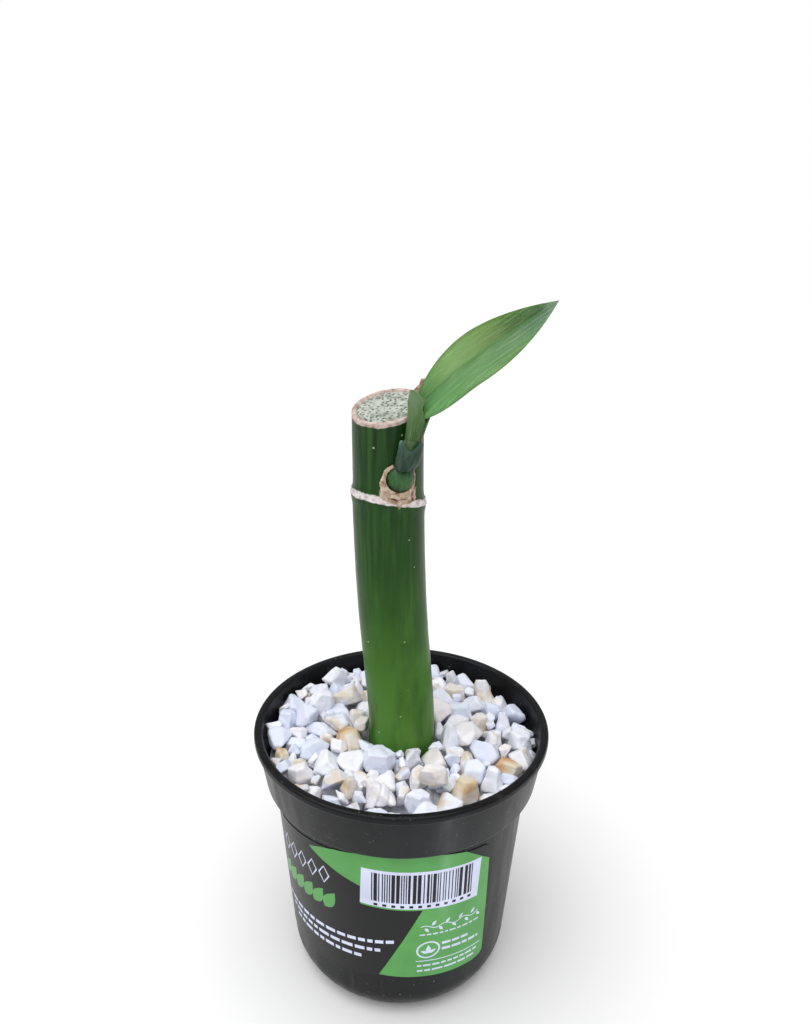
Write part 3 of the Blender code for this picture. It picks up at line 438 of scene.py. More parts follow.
def leaf_shape(s, z, length, width, turn):
    """The outline of a small leaf from its stalk end, pointing at an angle in degrees."""
    turn = math.radians(turn)
    along, across = np.array([math.cos(turn), math.sin(turn)]), np.array([-math.sin(turn), math.cos(turn)])
    shares = np.linspace(0.0, 1.0, 9)
    bulge = np.sin(math.pi * shares**0.8) * width / 2
    upper = [np.array([s, z]) + along * length * t + across * b for t, b in zip(shares, bulge)]
    lower = [np.array([s, z]) + along * length * t - across * b for t, b in zip(shares, bulge)]
    return upper + lower[-2:0:-1]


# The green fields: a long wedge along the top that the bar panel sits on, and a sloping field below it.
green = [
    [(-28.3, 59.0), (-23.5, 61.2), (-19.0, 62.6), (-11.2, 64.0), (-4.2, 64.6), (2.3, 64.6), (10.2, 64.1),
     (19.2, 62.3), (27.8, 55.3), (28.0, 44.0), (6.6, 44.1), (-11.0, 45.4), (-11.1, 52.1), (-17.8, 54.5),
     (-23.9, 57.0)],
    [(6.6, 44.1), (28.0, 44.0), (28.1, 28.0), (28.0, 17.2), (27.0, 15.9), (24.2, 15.6), (16.7, 16.2),
     (6.2, 17.2), (-5.7, 18.2), (0.7, 31.6)],
]
printed("label_green_print", green, laminated("green_print_ink", INK_GREEN), 1)

# The white print: the bar panel, rows of dashes where a label has its wording, a leaf badge and rules.
dash_rows = random.Random(21)


def dashes(start, end, height, longest, gap=0.55):
    """A row of short dashes along a line, like wording seen from too far off to read."""
    (s, z), (end_s, end_z) = start, end
    slope = (end_z - z) / (end_s - s)
    row = []
    while s < end_s - 0.8:
        width = min(dash_rows.uniform(0.4, 1.0) * longest, end_s - s)
        row.append(tilted(s, z, width, height, slope))
        s += width + gap
        z += slope * (width + gap)
    return row


PANEL = [(-10.7, 59.3), (5.4, 58.8), (24.6, 57.6), (23.9, 42.9), (5.7, 44.7), (-11.2, 46.0)]
white = [PANEL]
for row in (
    ((-43.5, 27.2), (-1.4, 31.4), 1.25, 3.9, 0.7),
    ((-40.4, 25.0), (-5.3, 27.6), 1.25, 3.9, 0.7),
    ((-37.8, 22.6), (-10.1, 24.0), 1.25, 3.4, 0.7),
    ((5.9, 34.1), (25.0, 32.7), 0.55, 2.2, 0.5),
    ((12.7, 28.9), (22.6, 28.0), 1.0, 2.9, 0.5),
    ((12.7, 26.6), (25.4, 25.2), 1.0, 3.6, 0.5),
    ((5.4, 21.4), (25.6, 19.9), 0.75, 2.4, 0.5),
    ((5.4, 19.3), (25.0, 17.9), 0.75, 4.0, 0.5),
):
    white += dashes(*row)
white += [tilted(5.0, 23.6, 21.6, 0.35, -0.085)]
ring = [(8.6 + 3.3 * math.cos(a), 27.9 + 3.1 * math.sin(a)) for a in np.linspace(0, 2 * math.pi, 33)[:-1]]
white += stroke(ring, 0.55, closed=True)
for badge_leaf in ((8.6, 26.4, 3.4, 1.5, 90), (8.4, 26.6, 2.4, 1.1, 150), (8.8, 26.6, 2.4, 1.1, 30)):
    white.append(leaf_shape(*badge_leaf))
sprig = [(s, 37.3 + 0.55 * math.sin(s * 1.05) - (s - 6) * 0.05) for s in np.arange(6.2, 25.0, 0.4)]
white += stroke(sprig, 0.3)
for k, s in enumerate(np.arange(7.4, 24.5, 2.1)):
    up = 1 if k % 2 else -1
    white.append(leaf_shape(s, 37.3 - (s - 6) * 0.05 + up * 0.4, 2.1, 0.95, up * 55))
for s in np.arange(-43.0, -20.0, 4.6):
    z = 50.6 + (s + 43.0) * 0.035
    lozenge = [(s, z), (s + 1.8, z + 3.1), (s + 3.6, z + 0.1), (s + 1.8, z - 3.1)]
    white += stroke(lozenge, 0.5, closed=True)
printed("label_white_print", white, laminated("white_print_ink", INK_WHITE), 2)

# A row of leaves, in the same green as the fields.
leaf_row = []
for s in np.arange(-44.5, -21.0, 4.3):
    z = 38.2 + (s + 44.5) * 0.12
    leaf_row.append(leaf_shape(s, z - 2.3, 8.2, 4.0, 62))
printed("label_leaf_print", leaf_row, bpy.data.materials["green_print_ink"], 2)

# The black bars on the panel, of uneven widths and in no code, with short dashes below them.
bar_widths = random.Random(8)
PANEL_LEFT, PANEL_WIDTH = -10.7, 35.3
bars = []
s = -7.9
while s < 21.2:
    width = bar_widths.choice((0.33, 0.33, 0.66, 0.99))
    share = (s - PANEL_LEFT) / PANEL_WIDTH
    foot = 47.9 - share * 2.2
    tall = 58.3 - share * 1.4 - foot
    bars.append(tilted(s, foot, width, tall, -0.05, lean=0.12))
    s += width + bar_widths.choice((0.33, 0.33, 0.66))
for s in np.arange(-7.2, 21.0, 2.5):
    share = (s - PANEL_LEFT) / PANEL_WIDTH
    bars.append(tilted(s, 46.2 - share * 2.2, 1.1, 0.9, -0.05))
printed("label_bar_print", bars, bpy.data.materials["black_print_film"], 3)


# ---------------------------------------------------------------- gravel
# The dressing is crushed white marble, loose chips of 4 to 14 mm: flat broken faces, worn edges, a waxy
# translucence, and iron stains from cream to orange in the odd chip. They lie heaped against the cane and
# the wall, and close over the lower bed.

CELL = 0.5
REACH = 43.0
DRESSING_Z = 78.6
DROP_FROM, DROP_TO = 9.0, 41.5
LOOSE_STONES = [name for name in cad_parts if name.startswith("stone_")]
EDGE_WEAR = 60.0
CHIP_WAVE = 2.6
CHIP_DEPTH = 0.3
FLUTED_STONE, FLUTE_WIDTH, FLUTE_DEPTH = 9, 3.1, 0.6
MM_PER_METRE = 1000.0
LEAST_FACET = 1e-8


def unit(vector):
    """The vector at a length of 1."""
    return np.array(vector) / np.linalg.norm(vector)


def facets(mesh):
    """The outward normals of a coarse stone's faces and their distances from its middle, in mm."""
    hull = bmesh.new()
    hull.from_mesh(mesh)
    made = bmesh.ops.convex_hull(hull, input=hull.verts)
    bmesh.ops.delete(hull, geom=made["geom_interior"] + made["geom_unused"], context="VERTS")
    middle = sum((v.co for v in hull.verts), Vector()) / len(hull.verts)
    bmesh.ops.recalc_face_normals(hull, faces=hull.faces)
    broad = [face for face in hull.faces if face.calc_area() > LEAST_FACET]
    normals = np.array([face.normal for face in broad])
    reaches = np.array([face.normal.dot(face.verts[0].co - middle) for face in broad])
    size = np.array([max(v.co[k] for v in hull.verts) - min(v.co[k] for v in hull.verts) for k in range(3)])
    hull.free()
    return np.array(middle) * MM_PER_METRE, normals, reaches * MM_PER_METRE, size * MM_PER_METRE


def ball(levels):
    """The directions and triangles of a fine even ball."""
    made = bmesh.new()
    bmesh.ops.create_icosphere(made, subdivisions=levels, radius=1.0)
    directions = np.array([v.co for v in made.verts])
    faces = [[v.index for v in f.verts] for f in made.faces]
    made.free()
    return directions, faces


FINE_BALL = ball(5)
COARSE_BALL = ball(4)


def worn_stone(middle, normals, reaches, size, seed, fineness):
    """The points of a stone with these facets, its edges worn round and its faces chipped, in mm."""
    directions, faces = fineness
    directions = directions * size
    directions = directions / np.linalg.norm(directions, axis=1, keepdims=True)
    closeness = np.maximum(directions @ normals.T, 0.02) / reaches
    scale = closeness.max(1, keepdims=True)
    distance = 1 / (scale[:, 0] * ((closeness / scale) ** EDGE_WEAR).sum(1) ** (1 / EDGE_WEAR))
    offset = Vector((seed * 7.3, seed * 3.1, seed * 1.7))
    points = []
    for direction, reach in zip(directions, distance):
        here = Vector(direction * reach)
        chip = noise.noise(here / CHIP_WAVE + offset) + 0.35 * noise.noise(here / (CHIP_WAVE * 0.4) + offset)
        if seed == FLUTED_STONE:
            turn = 2 * math.pi * (here.x - 0.35 * here.z) / FLUTE_WIDTH
            chip -= FLUTE_DEPTH / CHIP_DEPTH * (0.5 + 0.5 * math.cos(turn)) ** 5
        points.append(middle + direction * (reach + CHIP_DEPTH * (chip - 0.3)))
    return np.array(points), faces


def rubble(draw, length, width, height):
    """The facets of a random chip of this size, turned any way round, in mm."""
    count = draw.randint(8, 11)
    golden = math.pi * (3 - math.sqrt(5))
    turn = draw.uniform(0, 2 * math.pi)
    normals = []
    for k in range(count):
        z = 1 - 2 * (k + 0.5) / count
        flat = math.sqrt(1 - z * z)
        spot = [flat * math.cos(golden * k + turn), flat * math.sin(golden * k + turn), z]
        normals.append([c + draw.uniform(-0.3, 0.3) for c in spot])
    normals = np.array(normals)
    half = np.array([length, width, height]) / 2
    reaches = np.linalg.norm(normals * half, axis=1) * [draw.uniform(0.72, 1.0) for _ in range(count)]
    lengths = np.linalg.norm(normals, axis=1)
    normals, reaches = normals / lengths[:, None], reaches / lengths
    lean = Matrix.Rotation(draw.uniform(0, 2 * math.pi), 3, "Z")
    lean = lean @ Matrix.Rotation(draw.gauss(0, 0.6), 3, "X") @ Matrix.Rotation(draw.gauss(0, 0.6), 3, "Y")
    turned = np.array(lean)
    size = np.abs(turned) @ np.array([length, width, height])
    return normals @ turned.T, reaches, size


def cell_of(place):
    """The row or column of the grid that a place in mm falls in."""
    return int(round((place + REACH) / CELL))


def profile_above(normals, reaches, size):
    """The cells that a stone covers round its middle, with its lowest and highest height at each, in mm."""
    half = int(math.ceil(max(size[:2]) * 0.62 / CELL))
    steps = np.arange(-half, half + 1) * CELL
    x, y = np.meshgrid(steps, steps, indexing="ij")
    height = reaches[:, None, None] - normals[:, 0, None, None] * x - normals[:, 1, None, None] * y
    rise = normals[:, 2]
    top = np.full(x.shape, 1e3)
    bottom = np.full(x.shape, -1e3)
    for k, up in enumerate(rise):
        if up > 1e-3:
            top = np.minimum(top, height[k] / up)
        elif up < -1e-3:
            bottom = np.maximum(bottom, height[k] / up)
        else:
            top[height[k] < 0] = -1e3
    rows, columns = np.nonzero(top > bottom)
    return rows - half, columns - half, bottom[rows, columns], top[rows, columns]


stone_facets = {name: facets(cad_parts[name].data) for name in LOOSE_STONES}

# Crushing leaves more small faces than the coarse stones have: each gets a few more, near its edges.
crush = random.Random(58)
EXTRA_FACES = 9
for name, (middle, normals, reaches, size) in stone_facets.items():
    for _ in range(EXTRA_FACES):
        spot = unit([crush.gauss(0, 1) for _ in range(3)])
        distance = 1 / (np.maximum(normals @ spot, 0.02) / reaches).max()
        normals = np.vstack([normals, spot])
        reaches = np.append(reaches, distance * crush.uniform(0.98, 1.1))
    stone_facets[name] = (middle, normals, reaches, size)

# The lie of the bed before the chips go in: its own top, with the loose stones and the cane standing in it.
axis = np.arange(-REACH, REACH + CELL, CELL)
lie = np.zeros((len(axis), len(axis)))
BED_EDGE = 70.0
standing = bmesh.new()
standing.from_mesh(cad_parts["gravel_bed"].data)
tree = BVHTree.FromBMesh(standing)
standing.free()
for i, x in enumerate(axis):
    for j, y in enumerate(axis):
        hit = tree.ray_cast(Vector((x * MM, y * MM, LIP_Z)), Vector((0, 0, -1)))[0]
        lie[i, j] = hit.z * MM_PER_METRE if hit else BED_EDGE
for middle, normals, reaches, size in stone_facets.values():
    rows, columns, low, high = profile_above(normals, reaches, size)
    rows, columns = rows + cell_of(middle[0]), columns + cell_of(middle[1])
    kept = (rows >= 0) & (rows < len(axis)) & (columns >= 0) & (columns < len(axis))
    np.maximum.at(lie, (rows[kept], columns[kept]), middle[2] + high[kept])
across, along = np.meshgrid(axis, axis, indexing="ij")
CANE_RADIUS = 10.1
barred = np.hypot(across - 0.05, along) < CANE_RADIUS + 0.2
barred |= np.hypot(across, along) > COLLAR_TOP_RADIUS * MM_PER_METRE - 1.9

draw = random.Random(404)
heap = []


def wanted_top(x, y):
    """How high the dressing comes: heaped at the back wall and the cane, and lower at the sides."""
    r = math.hypot(x, y)
    near_cane = 1.4 * max(0.0, 1 - (r - 10) / 7)
    at_wall = 1.6 * max(0.0, (r - 33) / 9)
    return DRESSING_Z + 0.015 * y - 0.02 * x + near_cane - 0.5 * at_wall


def drop_chips(count, longest, shortest, tries, slack):
    """Drops chips on the bed one by one, each into the best of a few places, and keeps those that settle
    below the dressing's top."""
    for _ in range(count):
        length = draw.uniform(shortest, longest)
        width = length * draw.uniform(0.55, 0.95)
        height = length * draw.uniform(0.28, 0.55)
        normals, reaches, size = rubble(draw, length, width, height)
        rows, columns, low, high = profile_above(normals, reaches, size)
        best = None
        for _ in range(tries):
            r = math.sqrt(draw.uniform(DROP_FROM**2, DROP_TO**2))
            turn = draw.uniform(0, 2 * math.pi)
            x, y = r * math.cos(turn), r * math.sin(turn)
            i, j = rows + cell_of(x), columns + cell_of(y)
            off_grid = min(i.min(), j.min()) < 0 or max(i.max(), j.max()) >= len(axis)
            if off_grid or barred[i, j].any():
                continue
            rest = np.percentile(lie[i, j] - low, 90)
            over = rest + high.max() - wanted_top(x, y)
            if over < slack and (best is None or over < best[0]):
                best = (over, x, y, rest, i, j)
        if best:
            over, x, y, rest, i, j = best
            lie[i, j] = np.maximum(lie[i, j], rest + high)
            heap.append((np.array([x, y, rest]), normals, reaches, size))


# Three grades of chip, the coarsest first; the fine ones fill the gaps and stand out least.
for grade in ((130, 14.0, 9.5, 140, 2.6), (140, 9.0, 6.0, 120, 1.4), (170, 6.5, 4.0, 120, 0.6)):
    drop_chips(*grade)

# Crushed marble: bright broken faces with a fine sugary grain, light that goes a little way in and
# comes out cooler, and cream to orange iron stains that fade out within a chip.
marble, shader = new_finish(
    "crushed_white_marble",
    {"IOR": 1.49, "Subsurface Weight": 0.22, "Subsurface Scale": 2.0 * MM,
     "Subsurface Radius": (1.0, 0.9, 0.85)},
)
place = where(marble)
own = add(marble, "Attribute", attribute_name="own_place", output="Vector")
stain, tone = [add(marble, "Attribute", attribute_name=key, output="Fac") for key in ("stain", "tone")]
body = add(
    marble, "ValToRGB", {"Fac": tone},
    stops=[(0.0, "#dae2f6"), (0.35, "#e8edfd"), (0.6, "#f4f6ff"), (0.85, "#f5efee"), (1.0, "#e9e0d3")],
)
veins = add(marble, "TexNoise", {"Vector": own, "Scale": 1 / (3.2 * MM), "Detail": 4.0, "Distortion": 0.6})
cool = add(marble, "ValToRGB", {"Fac": veins}, stops=[(0.35, 0), (0.7, 0.5)])
body = add(marble, "Mix", {"Factor": cool, 6: body, 7: "#dfe4f4"}, data_type="RGBA")
patches = add(marble, "TexNoise", {"Vector": own, "Scale": 1 / (6.5 * MM), "Detail": 2.0})
level = add(marble, "Math", {0: patches, 1: stain}, operation="ADD")
cream = add(marble, "ValToRGB", {"Fac": level}, stops=[(0.75, 0), (0.98, 0.8)])
body = add(marble, "Mix", {"Factor": cream, 6: body, 7: "#d8c39b"}, data_type="RGBA")
core = add(marble, "Math", {0: level, 1: 0.98}, operation="SUBTRACT")
core = add(marble, "Math", {0: core, 1: 5.0}, operation="MULTIPLY", use_clamp=True)
body = add(marble, "Mix", {"Factor": core, 6: body, 7: "#c58a4a"}, data_type="RGBA")
sugar = add(marble, "TexNoise", {"Vector": own, "Scale": 1 / (0.7 * MM), "Detail": 3.0})
gloss = add(marble, "MapRange", {"Value": sugar, "To Min": 0.25, "To Max": 0.6})
cleave = add(marble, "TexNoise", {"Vector": own, "Scale": 1 / (2.0 * MM), "Detail": 5.0, "Roughness": 0.6})
relief = add(marble, "Bump", {"Height": sugar, "Strength": 0.25, "Distance": 0.1 * MM})
relief = add(marble, "Bump", {"Height": cleave, "Strength": 0.4, "Distance": 0.35 * MM, "Normal": relief})
feed(shader, {"Base Color": body, "Roughness": gloss, "Normal": relief})

# How stained each placed stone is, from clean to orange-hearted, and its tone from bluish over white to
# cream, by its number. The other stones draw theirs.
STONE_LOOKS = {
    1: (0.0, 0.3), 2: (0.0, 0.5), 3: (0.0, 0.6), 4: (0.05, 0.3), 5: (0.0, 0.05), 6: (0.0, 0.6),
    7: (0.46, 0.9), 8: (0.05, 0.6), 9: (0.15, 0.8), 10: (0.52, 0.9), 11: (0.0, 0.6), 12: (0.32, 0.6),
    13: (0.54, 0.7), 14: (0.0, 0.5), 15: (0.0, 0.2), 16: (0.36, 0.7), 17: (0.08, 0.7), 18: (0.0, 0.45),
    19: (0.44, 0.9), 20: (0.0, 0.1), 21: (0.1, 0.7), 22: (0.42, 0.9), 23: (0.34, 0.9), 24: (0.42, 0.7),
    25: (0.3, 0.8), 26: (0.34, 0.9), 27: (0.0, 0.1), 28: (0.42, 0.9), 29: (0.25, 0.85), 30: (0.3, 0.9),
    31: (0.05, 0.5), 32: (0.0, 0.1), 33: (0.0, 0.55), 34: (0.2, 0.95),
}


def stone_marks(points, middle, seed, stain_level, tone_level):
    """What the marble reads at a stone's points: its place in its own block, its stain and its tone."""
    own_place = (points - middle + np.array([seed * 31.0, seed * 17.0, seed * 23.0])) * MM
    same = np.ones(len(points))
    return {"own_place": own_place, "stain": same * stain_level, "tone": same * tone_level}


tones = random.Random(77)
for name in LOOSE_STONES:
    seed = int(name[-2:])
    points, faces = worn_stone(*stone_facets[name], seed, FINE_BALL)
    drawn = (tones.choice((0.0, 0.0, 0.05, 0.15, 0.3)), tones.uniform(0.1, 0.9))
    marks = stone_marks(points, stone_facets[name][0], seed, *STONE_LOOKS.get(seed, drawn))
    show("marble_chip_" + name[-2:], points * MM, faces, marble, [name], ALL_SMOOTH, marks)

# The small chips are shown in batches, each one piece.
BATCH = 75
FIRST_CHIP_SEED = 100
for start in range(0, len(heap), BATCH):
    points, faces, marks = [], [], []
    for seed, stone in enumerate(heap[start : start + BATCH], FIRST_CHIP_SEED + start):
        chip, chip_faces = worn_stone(*stone, seed, COARSE_BALL)
        stain_level = tones.choice((0.0, 0.0, 0.0, 0.05, 0.15, 0.3))
        marks.append(stone_marks(chip, stone[0], seed, stain_level, tones.uniform(0.05, 0.95)))
        faces += [[corner + len(chip) * len(points) for corner in face] for face in chip_faces]
        points.append(chip * MM)
    marks = {key: np.concatenate([one[key] for one in marks]) for key in marks[0]}
    name = f"marble_chips_{start // BATCH + 1}"
    show(name, np.vstack(points), faces, marble, (), ALL_SMOOTH, marks)


def refinish(finish, *nodes):
    """Gives a material to pieces that stay as the frame has them."""
    for node in nodes:
        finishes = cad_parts[node].data.materials
        finishes.clear()
        finishes.append(finish)


# What lies under the chips stays as the frame has it: the lower bed of the same marble, and dark potting
# soil of peat and bark fines. Both are out of sight once the pot is full.
packed_marble, shader = new_finish("packed_marble_bed", {"IOR": 1.49, "Roughness": 0.55})
place = where(packed_marble)
shade = add(packed_marble, "TexNoise", {"Vector": place, "Scale": 1 / (5.0 * MM), "Detail": 4.0})
colour = add(
    packed_marble, "ValToRGB", {"Fac": shade}, stops=[(0.3, "#8f8f96"), (0.55, "#d3d6de"), (0.75, "#d9cbb0")]
)
relief = add(packed_marble, "Bump", {"Height": shade, "Strength": 0.5, "Distance": 0.8 * MM})
feed(shader, {"Base Color": colour, "Normal": relief})
refinish(packed_marble, "gravel_bed")

peat, shader = new_finish("peat_and_bark_soil", {"Roughness": 0.95, "Specular IOR Level": 0.2})
place = where(peat)
crumbs = add(peat, "TexVoronoi", {"Vector": place, "Scale": 1 / (1.8 * MM)})
fibre = add(peat, "TexNoise", {"Vector": place, "Scale": 1 / (0.9 * MM), "Detail": 6.0})
colour = add(peat, "ValToRGB", {"Fac": fibre}, stops=[(0.35, "#1d140e"), (0.55, "#3a2a1e"), (0.8, "#6a5138")])
relief = add(peat, "Bump", {"Height": crumbs, "Strength": 0.8, "Distance": 0.8 * MM})
feed(shader, {"Base Color": colour, "Normal": relief})
refinish(peat, "soil")


# ---------------------------------------------------------------- cane and roots
# The cane is one piece of dracaena stem, cut square with a saw and set in the soil to root. The node near
# its top is a scar where a leaf clasped it; the cut has dried to a pale rim round a fibrous core.

CANE_BOTTOM = 26.0
CANE_LEAN = 4.75
LEAN_HEIGHT = 38.0
RIM_Z = LIP_Z * MM_PER_METRE
CUT_Z = 179.7
CUT_SLOPE = (0.155, 0.285)
NODE_Z = 154.6
NODE_SLOPE = (-0.15, -0.1)
LOWER_NODE_Z = 37.0
BUD_ANGLE = 19.0
BUD_Z = 162.2
CANE_COLUMNS = 240
CANE_ANGLES = [360.0 * k / CANE_COLUMNS for k in range(CANE_COLUMNS)]


def lean(z):
    """How far the cane's middle is off the pot's axis at a height, in mm."""
    return -CANE_LEAN * (1 - math.exp(-((max(0.0, z - RIM_Z) / LEAN_HEIGHT) ** 1.5)))


def ragged(angle, z, size, seed):
    """A smooth random value on the cane's skin, the same all round where it closes, from -1 to 1."""
    turn = math.radians(angle)
    return noise.noise(Vector((math.sin(turn) * 10 / size, math.cos(turn) * 10 / size, z / size + seed)))


def smooth(low, high, value):
    """Rises softly from 0 to 1 while the value goes from low to high."""
    share = min(1.0, max(0.0, (value - low) / (high - low)))
    return share * share * (3 - 2 * share)


def bump_at(distance, width):
    """A soft bump of height 1 at no distance, gone at about twice the width."""
    return math.exp(-((distance / width) ** 2))


def around_bud(angle, z):
    """A place on the skin as seen from the bud: distance across, to the right, and up, in mm."""
    across = math.radians((angle - BUD_ANGLE + 180) % 360 - 180) * CANE_RADIUS
    return across, z - BUD_Z


def scar_at(angle, z):
    """How much of a place near the upper node is pale scar, and how much is dried bud patch."""
    turn = math.radians(angle)
    tilt = CANE_RADIUS * (NODE_SLOPE[0] * math.sin(turn) - NODE_SLOPE[1] * math.cos(turn))
    off = z - NODE_Z - tilt
    rough = 0.35 * ragged(angle, 0.0, 2.2, 3.0) + 0.22 * ragged(angle, 0.0, 0.8, 9.0)
    slack = 0.3 * ragged(angle, 0.0, 1.7, 17.0) + 0.18 * ragged(angle, 0.0, 0.6, 29.0)
    top, bottom = 0.95 + slack, -0.95 + rough
    scar = smooth(bottom - 0.15, bottom + 0.15, off) * (1 - smooth(top - 0.15, top + 0.15, off))
    across, up = around_bud(angle, z)
    reach = 5.0 + 0.5 * bump_at(up + 3.5, 2.5) + 0.5 * ragged(angle, z, 1.3, 41.0)
    skirt = 1 - smooth(reach - 0.3, reach + 0.3, abs(across))
    skirt *= 1 - smooth(-2.6, -1.8, up + 0.12 * abs(across) ** 1.4)
    skirt *= smooth(-7.7, -7.3, up + 0.1 * across - 0.05 * across**2 + 0.5 * ragged(angle, z, 1.1, 5.0))
    spike = 1 - smooth(0.0, 1.0, (abs(across + 0.3) - 1.0 * smooth(-9.2, -6.6, up)) / 0.25 + 0.5)
    spike *= smooth(-9.4, -9.1, up) * (1 - smooth(-6.8, -6.4, up))
    return scar, max(skirt, spike)


def cane_skin_row(z, radius, slope):
    """Points and marks round the cane at one height, following a slope."""
    row, scars, patches, ages = [], [], [], []
    for angle in CANE_ANGLES:
        turn = math.radians(angle)
        x, y = math.sin(turn), -math.cos(turn)
        height = z + radius * (slope[0] * x + slope[1] * y)
        scar, patch = scar_at(angle, height)
        own = radius + 0.10 * ragged(angle, height, 9.0, 60.0) + 0.02 * ragged(angle, height, 1.5, 61.0)
        own += 0.28 * scar + 0.12 * scar * ragged(angle, height, 0.7, 7.0)
        own += patch * (0.22 + 0.2 * ragged(angle, height, 0.8, 23.0))
        row.append((lean(height) + own * x, own * y, height))
        scars.append(scar)
        patches.append(patch)
        ages.append(smooth(RIM_Z - 8, CUT_Z, height))
    return row, scars, patches, ages


def cane_radius_at(z):
    """The skin's radius at a height along the axis, with its swellings at the nodes."""
    radius = CANE_RADIUS - 0.25 * smooth(NODE_Z - 1, NODE_Z + 4, z)
    radius += 0.4 * bump_at(z - NODE_Z + 1.2, 2.0) + 0.4 * bump_at(z - LOWER_NODE_Z, 2.0)
    return radius


def slope_at(z):
    """The slope of the section at a height along the axis: level, as the node, or as the cut."""
    near_node = smooth(NODE_Z - 12, NODE_Z - 4, z)
    near_cut = smooth(NODE_Z + 5, CUT_Z - 3, z)
    return [a * near_node * (1 - near_cut) + b * near_cut for a, b in zip(NODE_SLOPE, CUT_SLOPE)]


heights = [CANE_BOTTOM + 2.0 * k for k in range(21)] + list(np.arange(68.0, 142.0, 1.0))
heights += list(np.arange(142.0, 158.0, 0.16)) + list(np.arange(158.0, CUT_Z - 2.1, 0.4))
heights += [CUT_Z - 2.1 + 0.16 * k for k in range(11)] + [CUT_Z - 0.35]
rows, scars, patches, ages = [], [], [], []
for z in heights:
    made = cane_skin_row(z, cane_radius_at(z), slope_at(z))
    for kept, new in zip((rows, scars, patches, ages), made):
        kept.append(new)

# The cut face, in rings from its edge inwards: the dried bark rim stands a little proud of the core.
core_marks = []
for z in heights:
    band = []
    for angle in CANE_ANGLES:
        front = 0.5 + 0.5 * math.cos(math.radians(angle))
        deep = 0.45 + 0.75 * front + 0.3 * ragged(angle, 0.0, 1.6, 55.0)
        band.append(0.15 * (1 - smooth(deep - 0.1, deep + 0.15, CUT_Z - z)))
    core_marks.append(band)
edge_radius = cane_radius_at(CUT_Z)
CUT_RINGS = (0.05, 0.2, 0.5, 0.8, 1.05, 1.25, 1.4, 1.55, 1.8, 2.2, 2.7, 3.3, 4.0, 4.8, 5.6, 6.4, 7.2, 8.0)
for inset in (*CUT_RINGS, 8.8, 9.5):
    row, depth_row = [], []
    for angle in CANE_ANGLES:
        turn = math.radians(angle)
        reach = edge_radius - inset + 0.10 * ragged(angle, CUT_Z, 9.0, 60.0) * (1 - inset / edge_radius)
        x, y = reach * math.sin(turn), -reach * math.cos(turn)
        rim = 0.35 * bump_at(inset - 0.55 - 0.15 * ragged(angle, 0.0, 2.0, 77.0), 0.55)
        groove = -0.3 * bump_at(inset - 1.45, 0.22)
        fibre = 0.14 * noise.noise(Vector((x / 0.9, y / 0.9, 3.3))) if inset > 1.5 else 0.0
        wave = 0.06 * ragged(angle, inset, 1.2, 90.0)
        z = CUT_Z - 0.3 + CUT_SLOPE[0] * x + CUT_SLOPE[1] * y + rim + groove + fibre + wave
        row.append((lean(CUT_Z) + x, y, z))
        depth_row.append(0.15 + 0.85 * smooth(1.3, 1.75, inset + 0.25 * ragged(angle, 0.0, 1.1, 31.0)))
    rows.append(row)
    core_marks.append(depth_row)
    for kept, level in ((scars, 0.0), (patches, 0.0), (ages, 1.0)):
        kept.append([level] * CANE_COLUMNS)
points, faces = skin(np.array(rows) * MM, round_columns=True)
last = len(points) - CANE_COLUMNS
faces.append(list(range(CANE_COLUMNS - 1, -1, -1)))
points = np.vstack([points, points[last:].mean(0)])
faces += [[last + k, last + (k + 1) % CANE_COLUMNS, len(points) - 1] for k in range(CANE_COLUMNS)]
cane_marks = {"scar": (scars, 0.0), "patch": (patches, 0.0), "age": (ages, 1.0), "cut": (core_marks, 1.0)}
for key, (levels, at_middle) in cane_marks.items():
    cane_marks[key] = np.append(np.ravel(levels), at_middle)

# Living green bark: a waxy skin, lighter towards the foot, with fine upright streaks, darker blotches,
# and pale pores. The scar is chalky, the bud's patch is dry and tan, and the cut is pale wood with
# darker fibre ends.
bark, shader = new_finish(
    "waxy_green_dracaena_bark",
    {"IOR": 1.45, "Specular IOR Level": 0.15, "Coat Weight": 0.06, "Coat Roughness": 0.25, "Coat IOR": 1.45,
     "Subsurface Weight": 0.05, "Subsurface Scale": 1.0 * MM},
)
place = where(bark)
scar, patch, age, cut_face = [add(bark, "Attribute", attribute_name=key, output="Fac") for key in cane_marks]
upright = add(bark, "Mapping", {"Vector": place, "Scale": (1.0, 1.0, 0.05)})
streaks = add(bark, "TexNoise", {"Vector": upright, "Scale": 1 / (1.3 * MM), "Detail": 4.0})
blotched = add(bark, "Mapping", {"Vector": place, "Scale": (1.0, 1.0, 0.3)})
blotches = add(bark, "TexNoise", {"Vector": blotched, "Scale": 1 / (6.5 * MM), "Detail": 3.0})
green = add(
    bark, "ValToRGB", {"Fac": age},
    stops=[(0.0, "#5a8a38"), (0.3, "#37631f"), (0.62, "#224714"), (0.76, "#204219"), (0.9, "#193b15"),
        (1.0, "#152f16")],
)
pores = add(bark, "TexVoronoi", {"Vector": place, "Scale": 1 / (5.0 * MM)})
for pattern, stops, tint in (
    (streaks, [(0.42, 0), (0.75, 0.38)], "#4b7d33"),
    (blotches, [(0.45, 0), (0.7, 0.6)], "#1b3f13"),
    (pores, [(0.04, 0.8), (0.07, 0)], "#b9c9a0"),
):
    share = add(bark, "ValToRGB", {"Fac": pattern}, stops=stops)
    green = add(bark, "Mix", {"Factor": share, 6: green, 7: tint}, data_type="RGBA")
textures = []
